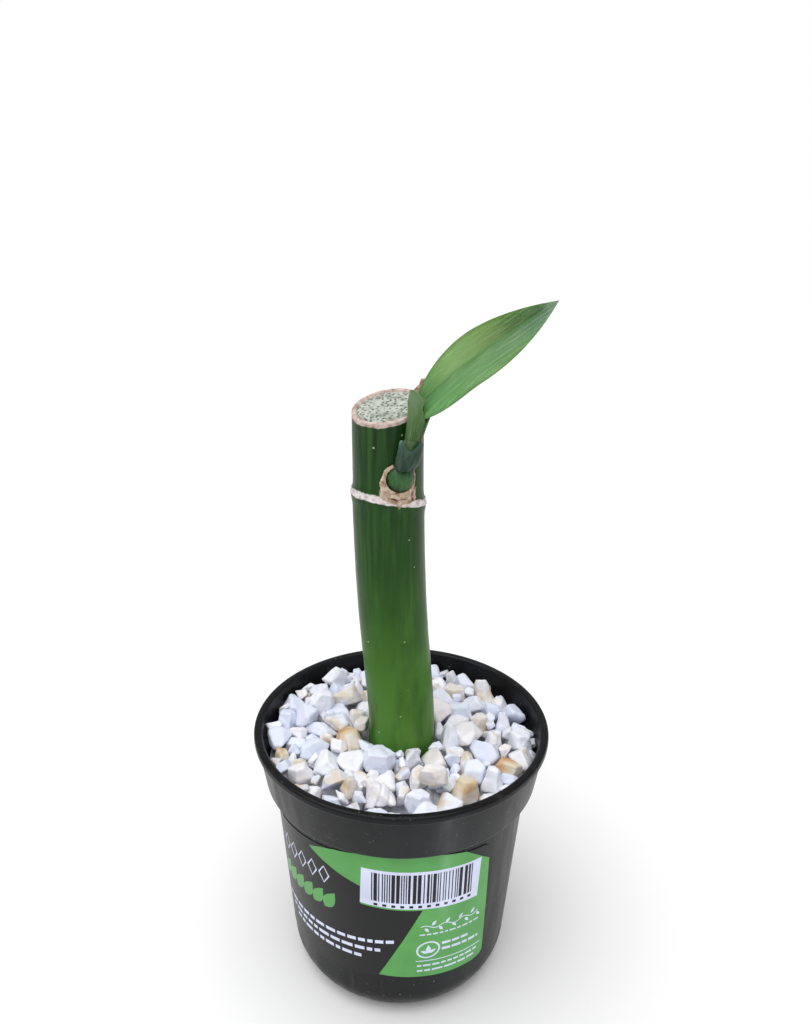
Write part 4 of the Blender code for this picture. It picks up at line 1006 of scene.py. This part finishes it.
for kind, grain_mm, more, stops in (
    ("TexNoise", 1.2, {"Detail": 4.0}, [(0.28, "#a08d82"), (0.44, "#d6cac6"), (0.65, "#efe9ea")]),
    ("TexNoise", 1.5, {"Detail": 5.0, "Distortion": 0.5},
     [(0.34, "#6f473b"), (0.44, "#a3836f"), (0.55, "#c8b4a2"), (0.7, "#dfd3c8")]),
    ("TexVoronoi", 0.95, {}, [(0.16, "#3f4a3a"), (0.3, "#848c80"), (0.5, "#bac0b5"), (0.8, "#c6cbc0")]),
    ("TexNoise", 2.6, {"Detail": 4.0}, [(0.5, 0), (0.72, 0.8)]),
    ("TexNoise", 1.6, {"Detail": 3.0}, [(0.32, "#9c8577"), (0.5, "#c9b5ab"), (0.7, "#dccfc8")]),
):
    pattern = add(bark, kind, {"Vector": place, "Scale": 1 / (grain_mm * MM), **more})
    textures.append(add(bark, "ValToRGB", {"Fac": pattern}, stops=stops))
chalk, tan, fibres, rot, rim_wood = textures
core = add(bark, "Mix", {"Factor": rot, 6: fibres, 7: "#6f7468"}, data_type="RGBA")
on_rim = add(bark, "ValToRGB", {"Fac": cut_face}, stops=[(0.0, 0), (0.08, 1)])
in_core = add(bark, "ValToRGB", {"Fac": cut_face}, stops=[(0.45, 0), (0.75, 1)])
in_groove = add(bark, "ValToRGB", {"Fac": cut_face}, stops=[(0.2, 0), (0.45, 0.75), (0.7, 0.6), (0.98, 0)])
skin_colour = green
for share, tint in ((scar, chalk), (patch, tan), (on_rim, rim_wood), (in_core, core), (in_groove, "#5c6653")):
    skin_colour = add(bark, "Mix", {"Factor": share, 6: skin_colour, 7: tint}, data_type="RGBA")
dry = add(bark, "Math", {0: scar, 1: patch}, operation="MAXIMUM")
dry = add(bark, "Math", {0: dry, 1: on_rim}, operation="MAXIMUM")
gloss = add(
    bark, "MapRange", {"Value": streaks, "From Min": 0.3, "From Max": 0.7, "To Min": 0.28, "To Max": 0.42}
)
gloss = add(bark, "Mix", {"Factor": dry, 2: gloss, 3: 0.85}, data_type="FLOAT")
relief = add(bark, "Bump", {"Height": streaks, "Strength": 0.25, "Distance": 0.15 * MM})
crust = add(bark, "TexNoise", {"Vector": place, "Scale": 1 / (0.6 * MM), "Detail": 4.0})
crust = add(bark, "Math", {0: crust, 1: dry}, operation="MULTIPLY")
relief = add(bark, "Bump", {"Height": crust, "Strength": 0.6, "Distance": 0.4 * MM, "Normal": relief})
feed(shader, {"Base Color": skin_colour, "Roughness": gloss, "Normal": relief})
show("dracaena_cane", points, faces, bark, ["cane"], SHARP_EDGES, cane_marks)

# Live roots: orange-brown corky skin, ringed with fine cracks. They stay buried.
cork, shader = new_finish("corky_root_skin", {"Roughness": 0.75})
place = where(cork)
rings = add(cork, "TexNoise", {"Vector": place, "Scale": 1 / (0.8 * MM), "Detail": 5.0})
colour = add(
    cork, "ValToRGB", {"Fac": rings}, stops=[(0.35, "#7a4320"), (0.55, "#b4692f"), (0.75, "#d39a58")]
)
relief = add(cork, "Bump", {"Height": rings, "Strength": 0.6, "Distance": 0.3 * MM})
feed(shader, {"Base Color": colour, "Normal": relief})
refinish(cork, "root_1", "root_2", "root_3", "root_4")


# ---------------------------------------------------------------- bud and husk
# The side shoot breaks from the eye above the scar. Its swollen foot is a green dome of tight scales, and
# the dead bud scale that it burst stays round it as a papery collar, open at the top.

BUD_RADIUS = 3.8
BUD_STANDS_OUT = 3.0
HUSK_THICKNESS = 0.32 * MM
AXIS_POINTS = 81


def beside_cane(angle, height, out):
    """A point that stands off the cane's skin, at a height above the upper node, in mm."""
    z = NODE_Z + height
    return np.array(around(angle, CANE_RADIUS + out, z, lean(z)))


def curve_through(points, count):
    """Points spread along a smooth curve through the given ones, ends included."""
    points = [np.array(p, float) for p in points]
    knots = [2 * points[0] - points[1], *points, 2 * points[-1] - points[-2]]
    made = []
    for step in range(count):
        spot = step / (count - 1) * (len(points) - 1)
        k = min(int(spot), len(points) - 2)
        t = spot - k
        a, b, c, d = knots[k : k + 4]
        bent = (2 * a - 5 * b + 4 * c - d) * t * t + (3 * b - a - 3 * c + d) * t**3
        made.append((2 * b + (c - a) * t + bent) / 2)
    return np.array(made)


shoot_axis = curve_through(
    [
        beside_cane(19.0, 7.6, 1.0),
        beside_cane(21.0, 12.6, 2.6),
        beside_cane(26.0, 17.6, 3.0),
        beside_cane(33.0, 22.6, 3.0),
        beside_cane(41.0, 27.1, 3.1),
    ],
    AXIS_POINTS,
)
shoot_axis[:, 0] += 0.9 * np.sin(np.linspace(0, math.pi, AXIS_POINTS)) ** 0.7


def living_tissue(name, stops, streak_colour, scale, wet=0.35, patch_colour="#2d4a2c", patch_share=0.4):
    """Green plant tissue: colour along the mark "run", fine streaks, and darker patches."""
    made, shader = new_finish(
        name,
        {"IOR": 1.42, "Specular IOR Level": 0.25, "Coat Weight": 0.05, "Coat Roughness": 0.35,
         "Subsurface Weight": 0.1, "Subsurface Scale": 0.8 * MM, "Subsurface Radius": (0.6, 1.0, 0.3)},
    )
    place = where(made)
    run = add(made, "Attribute", attribute_name="run", output="Fac")
    grain = add(made, "Attribute", attribute_name="grain", output="Vector")
    colour = add(made, "ValToRGB", {"Fac": run}, stops=stops)
    lines = add(made, "TexNoise", {"Vector": grain, "Scale": scale, "Detail": 4.0})
    light = add(made, "ValToRGB", {"Fac": lines}, stops=[(0.45, 0), (0.75, 0.6)])
    colour = add(made, "Mix", {"Factor": light, 6: colour, 7: streak_colour}, data_type="RGBA")
    spots = add(made, "TexNoise", {"Vector": place, "Scale": 1 / (2.4 * MM), "Detail": 3.0})
    spots = add(made, "ValToRGB", {"Fac": spots}, stops=[(0.5, 0), (0.75, patch_share)])
    colour = add(made, "Mix", {"Factor": spots, 6: colour, 7: patch_colour}, data_type="RGBA")
    gloss = add(made, "MapRange", {"Value": lines, "To Min": wet, "To Max": wet + 0.2})
    relief = add(made, "Bump", {"Height": lines, "Strength": 0.35, "Distance": 0.2 * MM})
    feed(shader, {"Base Color": colour, "Roughness": gloss, "Normal": relief})
    return made


def laid_out(row_count, column_count, place_at):
    """Grids of what place_at gives for each row and column: a point, and the marks that go with it."""
    cells = [[place_at(i, j) for j in range(column_count)] for i in range(row_count)]
    return [np.array([[cell[k] for cell in row] for row in cells]) for k in range(len(cells[0][0]))]


def marks_along(run, grain, sides=1):
    """The marks that living tissue reads, for one or both sides of a sheet."""
    return {"run": np.tile(run.ravel(), sides), "grain": np.tile(grain.reshape(-1, 3), (sides, 1))}


bud_middle = beside_cane(BUD_ANGLE, 7.6, 0.0)
BUD_ROWS, BUD_COLUMNS = 49, 72


def bud_place(i, j):
    """The point on the bud at a row from its upper pole and a column round it."""
    polar, turn = math.pi * i / (BUD_ROWS - 1), 2 * math.pi * j / BUD_COLUMNS
    across = math.sin(polar) * math.sin(turn)
    out = -math.sin(polar) * math.cos(turn)
    up = math.cos(polar)
    seam = 0.55 + 0.5 * across - 0.25 * across * across
    lower_seam = 0.4 * across - 0.25
    fold = -0.22 * bump_at((up - seam) * BUD_RADIUS, 0.28)
    fold -= 0.14 * bump_at((up - lower_seam) * BUD_RADIUS, 0.2)
    swell = 1.0 + (fold + 0.05 * noise.noise(Vector((across * 4, up * 1.5, 2.0)))) / BUD_RADIUS
    facing = math.radians(BUD_ANGLE)
    side, ahead = across * BUD_RADIUS * swell, out * BUD_STANDS_OUT * swell
    x = side * math.cos(facing) - ahead * math.sin(facing)
    y = side * math.sin(facing) + ahead * math.cos(facing)
    run = min(1.0, max(0.0, 0.5 + 0.5 * up + 0.2 * across))
    grain = (across * BUD_RADIUS * MM, 0.0, up * BUD_RADIUS * 0.25 * MM)
    return bud_middle + [x, y, up * BUD_RADIUS * 1.05 * swell], run, grain


grid, run, grain = laid_out(BUD_ROWS, BUD_COLUMNS, bud_place)
points, faces = skin(grid * MM, round_columns=True)

# Bud scales: smooth bright green skin, mottled darker, with faint streaks along the grain.
bud_green = living_tissue(
    "tight_green_bud_scales", [(0.0, "#1d3018"), (0.25, "#2f5a2b"), (0.6, "#39603a"), (1.0, "#1d2f22")],
    "#4f7a4a", 1 / (0.7 * MM),
)
marks = marks_along(run, grain)
show("shoot_foot", points, faces, bud_green, ["shoot_base"], ALL_SMOOTH, marks)

# The collar, from its right end down and round to its left end over the bud.
HUSK_ROWS, HUSK_START, HUSK_TURN = 141, 58.0, 272.0
husk_grid = []
for k in range(HUSK_ROWS):
    bearing = math.radians(HUSK_START + HUSK_TURN * k / (HUSK_ROWS - 1))
    end = min(1.0, k / 9, (HUSK_ROWS - 1 - k) / 16)
    left = smooth(math.radians(185), math.radians(235), bearing)
    below = bump_at(bearing - math.pi, 0.95)
    wide = 0.4 + 1.5 * below + 1.1 * left * bump_at(bearing - math.radians(238), 0.55) + 0.2 * left
    wide *= (0.35 + 0.65 * end) * (1 + 0.28 * noise.noise(Vector((bearing * 3.4, 1.0, 7.0))))
    row = []
    for share in np.linspace(0.0, 1.0, 9):
        reach = 3.75 + wide * share + 0.12 * noise.noise(Vector((bearing * 9.0, share * 2.0, 3.0)))
        across, up = reach * math.sin(bearing), reach * math.cos(bearing) * 1.05
        lip = 0.55 + 1.25 * (1 - share) ** 1.5 * (0.45 + 0.55 * left + 0.2 * below)
        lip += 0.22 * noise.noise(Vector((bearing * 5.0, share * 3.0, 11.0)))
        angle = BUD_ANGLE + math.degrees(across / CANE_RADIUS)
        row.append(beside_cane(angle, BUD_Z - NODE_Z + up, lip))
    husk_grid.append(row)
points, faces = thick(np.array(husk_grid) * MM, HUSK_THICKNESS)

# Dead bud scale: papery and dull, buff where it is thin and red-brown where it is thick, with fine veins.
papery, shader = new_finish("papery_dead_bud_scale", {"Roughness": 0.8, "Specular IOR Level": 0.25})
place = where(papery)
tone = add(papery, "TexNoise", {"Vector": place, "Scale": 1 / (1.6 * MM), "Detail": 5.0, "Distortion": 0.8})
colour = add(
    papery, "ValToRGB", {"Fac": tone},
    stops=[(0.28, "#77503f"), (0.42, "#b0977f"), (0.6, "#cfbfa8"), (0.8, "#e2d8c8")],
)
veins = add(papery, "TexNoise", {"Vector": place, "Scale": 1 / (0.5 * MM), "Detail": 3.0})
relief = add(papery, "Bump", {"Height": veins, "Strength": 0.6, "Distance": 0.25 * MM})
feed(shader, {"Base Color": colour, "Normal": relief})
show("dead_bud_scale", points, faces, papery, ["bud_husk"], SHARP_EDGES)


# ---------------------------------------------------------------- stem, scale and sheath
# The young stem climbs beside the cane. A blue-green scale with two points clasps it above the bud, and
# the leaf's own base rolls round it higher up as a pale sheath that gapes at the front.


def rings_along(path, radii, columns, flat=1.0):
    """Rings square to a path, each with its front column first."""
    grid = []
    ahead = np.gradient(path, axis=0)
    for middle, direction, radius in zip(path, ahead, radii):
        direction = unit(direction)
        across = unit(np.array([1.0, 0.0, 0.0]) - direction * direction[0])
        front = np.cross(across, direction)
        turns = np.linspace(0, 2 * math.pi, columns, endpoint=False)
        grid.append([middle + radius * (across * math.sin(t) + front * flat * math.cos(t)) for t in turns])
    return np.array(grid)


STEM_COLUMNS = 48
stem_path = shoot_axis[14:78]
stem_shares = np.linspace(0.0, 1.0, len(stem_path))
stem_radii = [2.1 - 0.65 * smooth(0.35, 1.0, t) + 0.04 * math.sin(31 * t) for t in stem_shares]
stem_grid = rings_along(stem_path, stem_radii, STEM_COLUMNS, 0.88)
for j in range(STEM_COLUMNS):
    rib = 0.045 * math.cos(9 * 2 * math.pi * j / STEM_COLUMNS)
    stem_grid[:, j] += (stem_grid[:, j] - stem_path) * rib
points, faces = skin(stem_grid * MM, round_columns=True)
faces += [list(range(STEM_COLUMNS - 1, -1, -1)), list(range(len(points) - STEM_COLUMNS, len(points)))]
turns = np.arange(STEM_COLUMNS) / STEM_COLUMNS * 2 * math.pi
# The colour mark runs from dark on the right side to pale on the left, as painted light and shade, and pales
# a little towards the top.
stem_run_with_painted_side_light = np.tile(0.5 - 0.5 * np.sin(turns), (len(stem_path), 1)) * 0.75 + 0.25 * stem_shares[:, None]
stem_grain = [
    [(0.9 * j / STEM_COLUMNS * 12 * MM, 0.0, t * 3 * MM) for j in range(STEM_COLUMNS)] for t in stem_shares
]

# Young stem: pale yellow-green and tender, lighter towards the top, with fine streaks along it. Its left side
# is painted light and its right side painted shade.
young_stem = living_tissue(
    "smooth_young_stem", [(0.0, "#1f3719"), (0.35, "#375429"), (0.7, "#5e774c"), (1.0, "#81936e")], "#778e64",
    1 / (0.6 * MM),
)
stem_marks = {"run": stem_run_with_painted_side_light.ravel(), "grain": np.array(stem_grain).reshape(-1, 3)}
show("young_stem", points, faces, young_stem, ["shoot_stem"], SHARP_EDGES, stem_marks)

# The scale: a wrap whose top edge rises in a long point at the left and a short one at the right.
SCALE_ROWS, SCALE_COLUMNS = 25, 73
SCALE_THICKNESS = 0.38 * MM


def scale_place(i, j):
    """The point on the clasping scale at a row up the stem and a column round it."""
    t = i / (SCALE_ROWS - 1)
    bearing = -170 + 340 * j / (SCALE_COLUMNS - 1)
    rise = 4.4 * bump_at(bearing + 58, 46) + 3.9 * bump_at(bearing - 45, 40) - 0.3 * bump_at(bearing, 16)
    spot = 13 + t * (13 + 4.0 * rise)
    k = min(len(shoot_axis) - 2, int(spot))
    middle = shoot_axis[k] + (shoot_axis[k + 1] - shoot_axis[k]) * (spot - k)
    flare = bump_at(bearing + 62, 30) + 0.6 * bump_at(bearing - 48, 24)
    open_out = 2.3 + 0.9 * smooth(0.0, 0.35, t) - 0.25 * t + 0.5 * t * t * flare
    turn = math.radians(bearing)
    point = middle + [open_out * math.sin(turn), -0.82 * open_out * math.cos(turn), -0.5 * (1 - t)]
    # The colour mark pales up towards the dry top edge, and pales more on the left side as a painted
    # highlight.
    return point, 0.75 * t + 0.25 * bump_at(bearing + 75, 30), (bearing / 20 * MM, 0.0, t * 1.5 * MM)


grid, run, grain = laid_out(SCALE_ROWS, SCALE_COLUMNS, scale_place)
points, faces = thick(grid * MM, SCALE_THICKNESS)

# Clasping scale: tougher and bluer than the stem, with a dry pale edge, a painted highlight down its left
# side, and fine parallel streaks.
scale_green = living_tissue(
    "blue_green_clasping_scale", [(0.0, "#1c2e23"), (0.5, "#283e2c"), (0.85, "#415c51"), (1.0, "#84988d")],
    "#5b7368", 1 / (0.8 * MM), 0.4,
)
marks = marks_along(run, grain, sides=2)
show("clasping_scale", points, faces, scale_green, ["lower_scale"], SHARP_EDGES, marks)

# The sheath: closed low down, it opens at the front right, and its left edge ends in a free tip.
sheath_end = shoot_axis[-1] + np.outer([1, 2, 3], [0.3, -0.2, 0.9])
sheath_path = np.vstack([shoot_axis[44::2], sheath_end])
SHEATH_COLUMNS = 61
SHEATH_THICKNESS = 0.4 * MM


def sheath_place(i, j):
    """The point on the rolled sheath at a row up it and a column round it."""
    t, across = i / (len(sheath_path) - 1), j / (SHEATH_COLUMNS - 1)
    half_gap = 3 + 40 * smooth(0.35, 1.0, t)
    bearing = 46 + half_gap + (360 - 2 * half_gap) * j / (SHEATH_COLUMNS - 1)
    left = bump_at((bearing - 300) / 60, 1.0)
    radius = 2.0 + 0.95 * t + 0.5 * t * t * left
    turn = math.radians(bearing)
    lift = t * t * (1.6 * left - 1.8 * (1 - left))
    run = min(1.0, 0.2 + 0.6 * t + 0.3 * left * (1 - abs(across - 0.85)))
    grain = (bearing / 18 * MM, 0.0, t * 2.0 * MM)
    return sheath_path[i] + [radius * math.sin(turn) * 1.05, -radius * math.cos(turn), lift], run, grain


grid, run, grain = laid_out(len(sheath_path), SHEATH_COLUMNS, sheath_place)
points, faces = thick(grid * MM, SHEATH_THICKNESS)

# Rolled sheath: the base of the leaf, paler towards its rim, with streaks that run up into the blade.
pale_sheath = living_tissue(
    "pale_rolled_leaf_sheath", [(0.0, "#314921"), (0.4, "#3e5c2c"), (0.75, "#537042"), (1.0, "#68855c")],
    "#708663", 1 / (0.8 * MM), 0.4, "#1c4510", 0.3,
)
marks = marks_along(run, grain, sides=2)
show("rolled_leaf_sheath", points, faces, pale_sheath, ["leaf_sheath"], SHARP_EDGES, marks)


# ---------------------------------------------------------------- leaf
# The one open leaf is a spear-shaped blade, thin and leathery, keeled on its midrib with veins that all
# run lengthwise. Behind its base stands the withered tip of the leaf before it.

LEAF_LENGTH = 41.1
LEAF_WIDTH = 12.4
LEAF_RISE = 37.8
LEAF_BASE_SHARE = 0.07
LEAF_TAPER = 0.85
LEAF_SWAY = 1.28
LEAF_BOW = 2.0
LEAF_FOLD = 0.22
LEAF_ROWS, LEAF_COLUMNS = 90, 41
TIP_THICKNESS = 0.25 * MM


def blade_half_width(t):
    """Half the blade's width at a share of its length: broad before the middle, drawn out to the tip."""
    broadest = (LEAF_TAPER - LEAF_BASE_SHARE) / (1 + LEAF_TAPER)
    most = (1 - broadest) * (LEAF_BASE_SHARE + broadest) ** LEAF_TAPER
    return LEAF_WIDTH / 2 * (1 - t) * (LEAF_BASE_SHARE + t) ** LEAF_TAPER / most


leaf_base = shoot_axis[-1] + [0.7, -0.8, 1.1]
rise = math.radians(LEAF_RISE)
leaf_along = unit([math.cos(rise), -0.01, math.sin(rise)])
leaf_up = unit(np.cross(leaf_along, [-0.1, -1.0, 0.3]))
leaf_up *= math.copysign(1.0, leaf_up[2])
leaf_facing = unit(np.cross(leaf_along, leaf_up))
leaf_facing *= math.copysign(1.0, -leaf_facing[1])


def leaf_place(i, j):
    """A point of the blade, its place along and across for the colours, and how thick it is there."""
    t, side = i / (LEAF_ROWS - 1), 2 * j / (LEAF_COLUMNS - 1) - 1
    width = max(blade_half_width(t), 0.25 * (1 - t) + 0.06)
    sway = LEAF_SWAY * math.sin(math.pi * t) * (1 - t)
    bow = LEAF_BOW * math.sin(math.pi * t)
    middle = leaf_base + leaf_along * LEAF_LENGTH * t + leaf_up * sway + leaf_facing * bow
    keel = math.sqrt(side * side + 0.012) - 0.11
    fold = LEAF_FOLD * keel * width + 0.9 * (1 - smooth(0.0, 0.22, t)) * side * side
    vein = 0.035 * math.cos(side * width * 2 * math.pi / 0.9)
    ripple = 0.22 * side * side * math.sin(13 * t + 2.0 * side) * smooth(0.1, 0.4, t)
    full = width + 1.9 * (1 - smooth(0.0, 0.36, t)) * (side < 0)
    lap = 2.2 * (1 - smooth(0.0, 0.3, t)) * min(0.0, side)
    point = middle + leaf_up * full * side + leaf_along * lap + leaf_facing * (fold + vein + ripple)
    return point, (t, side, side * width), 0.34 - 0.22 * abs(side) ** 2 - 0.08 * t


grid, places, thin = laid_out(LEAF_ROWS, LEAF_COLUMNS, leaf_place)
points, faces = thick(grid * MM, thin * MM)

# Leaf blade: a satin green that lets light through, ageing to grey at the very tip. The upper half is painted
# yellower as a highlight of the light coming through it, the lower half bluer as a painted reflection, and
# the keel's fold darker as painted shade. Veins lie about a millimetre apart, drawn stronger than they are so
# that they show.
blade, shader = new_finish(
    "satin_leaf_blade",
    {"IOR": 1.42, "Coat Weight": 0.1, "Coat Roughness": 0.35, "Subsurface Weight": 0.25,
     "Subsurface Scale": 1.2 * MM, "Subsurface Radius": (0.5, 1.0, 0.2)},
)
at = add(blade, "Attribute", attribute_name="blade_place", output="Vector")
parts = add(blade, "SeparateXYZ", {"Vector": at}).node.outputs
wander = add(blade, "TexNoise", {"Vector": where(blade), "Scale": 1 / (7.0 * MM), "Detail": 3.0})
run = add(blade, "MapRange", {"Value": wander, "To Min": -0.1, "To Max": 0.1})
run = add(blade, "Math", {0: parts["X"], 1: run}, operation="ADD")
# The yellower ramp is a painted highlight for the upper half, and the bluer one a painted reflection for the
# lower half.
upper, lower = [
    add(blade, "ValToRGB", {"Fac": run}, stops=stops)
    for stops in (
        [(0.0, "#60944d"), (0.14, "#689353"), (0.3, "#80a364"), (0.5, "#748e54"), (0.68, "#4e6b38"),
         (0.88, "#3b5738"), (0.97, "#717f77")],
        [(0.0, "#558b4c"), (0.15, "#629259"), (0.35, "#68915d"), (0.55, "#638859"), (0.75, "#4e734f"),
         (0.9, "#526e5c"), (0.98, "#6f8076")],
    )
]
painted_light_halves = add(blade, "MapRange", {"Value": parts["Y"], "From Min": -0.12, "From Max": 0.1})
colour = add(blade, "Mix", {"Factor": painted_light_halves, 6: lower, 7: upper}, data_type="RGBA")
from_keel = add(blade, "Math", {0: parts["Y"]}, operation="ABSOLUTE")
spread_out = add(blade, "CombineXYZ", {"X": parts["X"], "Y": parts["Z"]})
spread_out = add(blade, "Mapping", {"Vector": spread_out, "Scale": (3.0, 1.0, 1.0)})
veins = add(blade, "TexNoise", {"Vector": spread_out, "Scale": 1.9, "Detail": 5.0, "Roughness": 0.6})
# Along the keel a darker green is painted in as shade in the fold; then a darker rim at the edges, and
# lighter veins.
for pattern, stops, tint in (
    (from_keel, [(0.0, 0.7), (0.18, 0)], "#4a7a42"),
    (from_keel, [(0.82, 0), (1.0, 0.7)], "#35592c"),
    (veins, [(0.5, 0), (0.75, 0.45)], "#a5bf8c"),
):
    share = add(blade, "ValToRGB", {"Fac": pattern}, stops=stops)
    colour = add(blade, "Mix", {"Factor": share, 6: colour, 7: tint}, data_type="RGBA")
gloss = add(blade, "MapRange", {"Value": veins, "To Min": 0.34, "To Max": 0.55})
relief = add(blade, "Bump", {"Height": veins, "Strength": 0.35, "Distance": 0.2 * MM})
feed(shader, {"Base Color": colour, "Roughness": gloss, "Normal": relief})
blade_marks = {"blade_place": np.tile(places.reshape(-1, 3), (2, 1))}
show("spear_leaf", points, faces, blade, ["leaf"], SHARP_EDGES, blade_marks)

# The withered tip: a curled sliver, dry as paper, on a narrow foot that comes out of the rolled sheath.
tip_foot = leaf_base + [-1.0, 2.2, 2.4]
tip_grid = []
for u in np.linspace(-1.25, 1.0, 55):
    sunk, t = max(0.0, -u), max(0.0, u)
    half = 1.5 * (1 - 0.6 * t**1.3) * (1 - 0.5 * smooth(0.0, 0.8, sunk))
    middle = tip_foot + np.array([0.25, 0.05, 1.0]) * 2.9 * u + [0.35 * math.sin(3 * t), 0.0, 0.0]
    middle = middle + np.array([1.3, -0.7, 0.0]) * sunk
    row = []
    for side in np.linspace(-1.0, 1.0, 15):
        curl = 0.55 * side * side + 0.15 * noise.noise(Vector((side * 2, u * 4, 4.0)))
        fray = 0.5 * noise.noise(Vector((side * 3.0, 8.0, 2.0))) * t
        row.append(middle + [half * side * (1 - 0.25 * t), curl, fray])
    tip_grid.append(row)
points, faces = thick(np.array(tip_grid) * MM, TIP_THICKNESS)
withered = papery.copy()
withered.name = "withered_leaf_tissue"
show("withered_leaf_tip", points, faces, withered, ["withered_tip"], SHARP_EDGES)


# ---------------------------------------------------------------- camera, floor and light
# The camera stands a little above the pot and close to it. The floor is a plain matt white sweep, and the
# light is that of a white room, with one narrow strip on the floor for the streak on the pot.

CAMERA_AT = (0.0, -0.2057, 0.2188)
CAMERA_DIPS, CAMERA_ROLLS = 18.66, 0.69
FLOOR_HALF = 4.0
scene = bpy.context.scene
camera_data = bpy.data.cameras.new("camera")
camera_data.sensor_width = 36.0
camera_data.lens = 27.07
camera_data.shift_x = 0.00197
camera_data.clip_start = 0.01
camera = put("camera", camera_data)
pitch = Matrix.Rotation(math.radians(90 - CAMERA_DIPS), 4, "X")
roll = Matrix.Rotation(math.radians(CAMERA_ROLLS), 4, "Z")
camera.matrix_world = Matrix.Translation(CAMERA_AT) @ pitch @ roll
scene.camera = camera
scene.view_settings.view_transform = "Standard"

floor_mesh = bpy.data.meshes.new("white_floor")
corners = [(FLOOR_HALF * x, FLOOR_HALF * y, 0) for x, y in ((-1, -1), (1, -1), (1, 1), (-1, 1))]
floor_mesh.from_pydata(corners, [], [(0, 1, 2, 3)])
matt_white, _ = new_finish(
    "matt_white_sweep", {"Roughness": 0.9, "Specular IOR Level": 0.2, "Base Color": "#f7f7f7"}
)
floor_mesh.materials.append(matt_white)
floor = put("white_floor", floor_mesh)
floor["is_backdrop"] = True

# The room: even light walls, and plain white where the camera sees past the floor.
world = bpy.data.worlds.new("white_room")
world.use_nodes = True
room = world.node_tree.nodes["Background"]
seen = add(world, "LightPath", output="Is Camera Ray")
walls = add(world, "MapRange", {"Value": seen, "To Min": 0.42, "To Max": 1.0})
feed(room, {"Color": (1.0, 1.0, 1.0, 1.0), "Strength": walls})
scene.world = world

# A broad even light from above, as from a white ceiling. A narrow strip lies on the floor at the front
# right, out of sight, for the upright streak that it draws on the pot's wall.
ceiling_light = bpy.data.lights.new("ceiling_light", "SUN")
ceiling_light.energy = 2.5
ceiling_light.angle = math.radians(75)
ceiling = put("ceiling_light", ceiling_light)
ceiling.rotation_euler = (math.radians(14), math.radians(-10), 0.0)
STRIP_START, STRIP_END = Vector((0.035, -0.056, 0.001)), Vector((0.23, -0.267, 0.001))
strip_light = bpy.data.lights.new("floor_strip", "AREA")
strip_light.shape = "RECTANGLE"
strip_light.size = 0.007
strip_light.size_y = (STRIP_END - STRIP_START).length
strip_light.energy = 0.036
strip_light.color = (0.85, 0.93, 1.0)
strip = put("floor_strip", strip_light)
strip.location = (STRIP_START + STRIP_END) / 2
strip_turn = math.atan2(STRIP_END.y - STRIP_START.y, STRIP_END.x - STRIP_START.x)
strip.rotation_euler = (math.pi, 0.0, strip_turn + math.pi / 2)
strip.visible_camera = False

sizes = [[list(map(float, corner)) for corner in pair] for pair in ((cad_low, cad_high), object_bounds())]
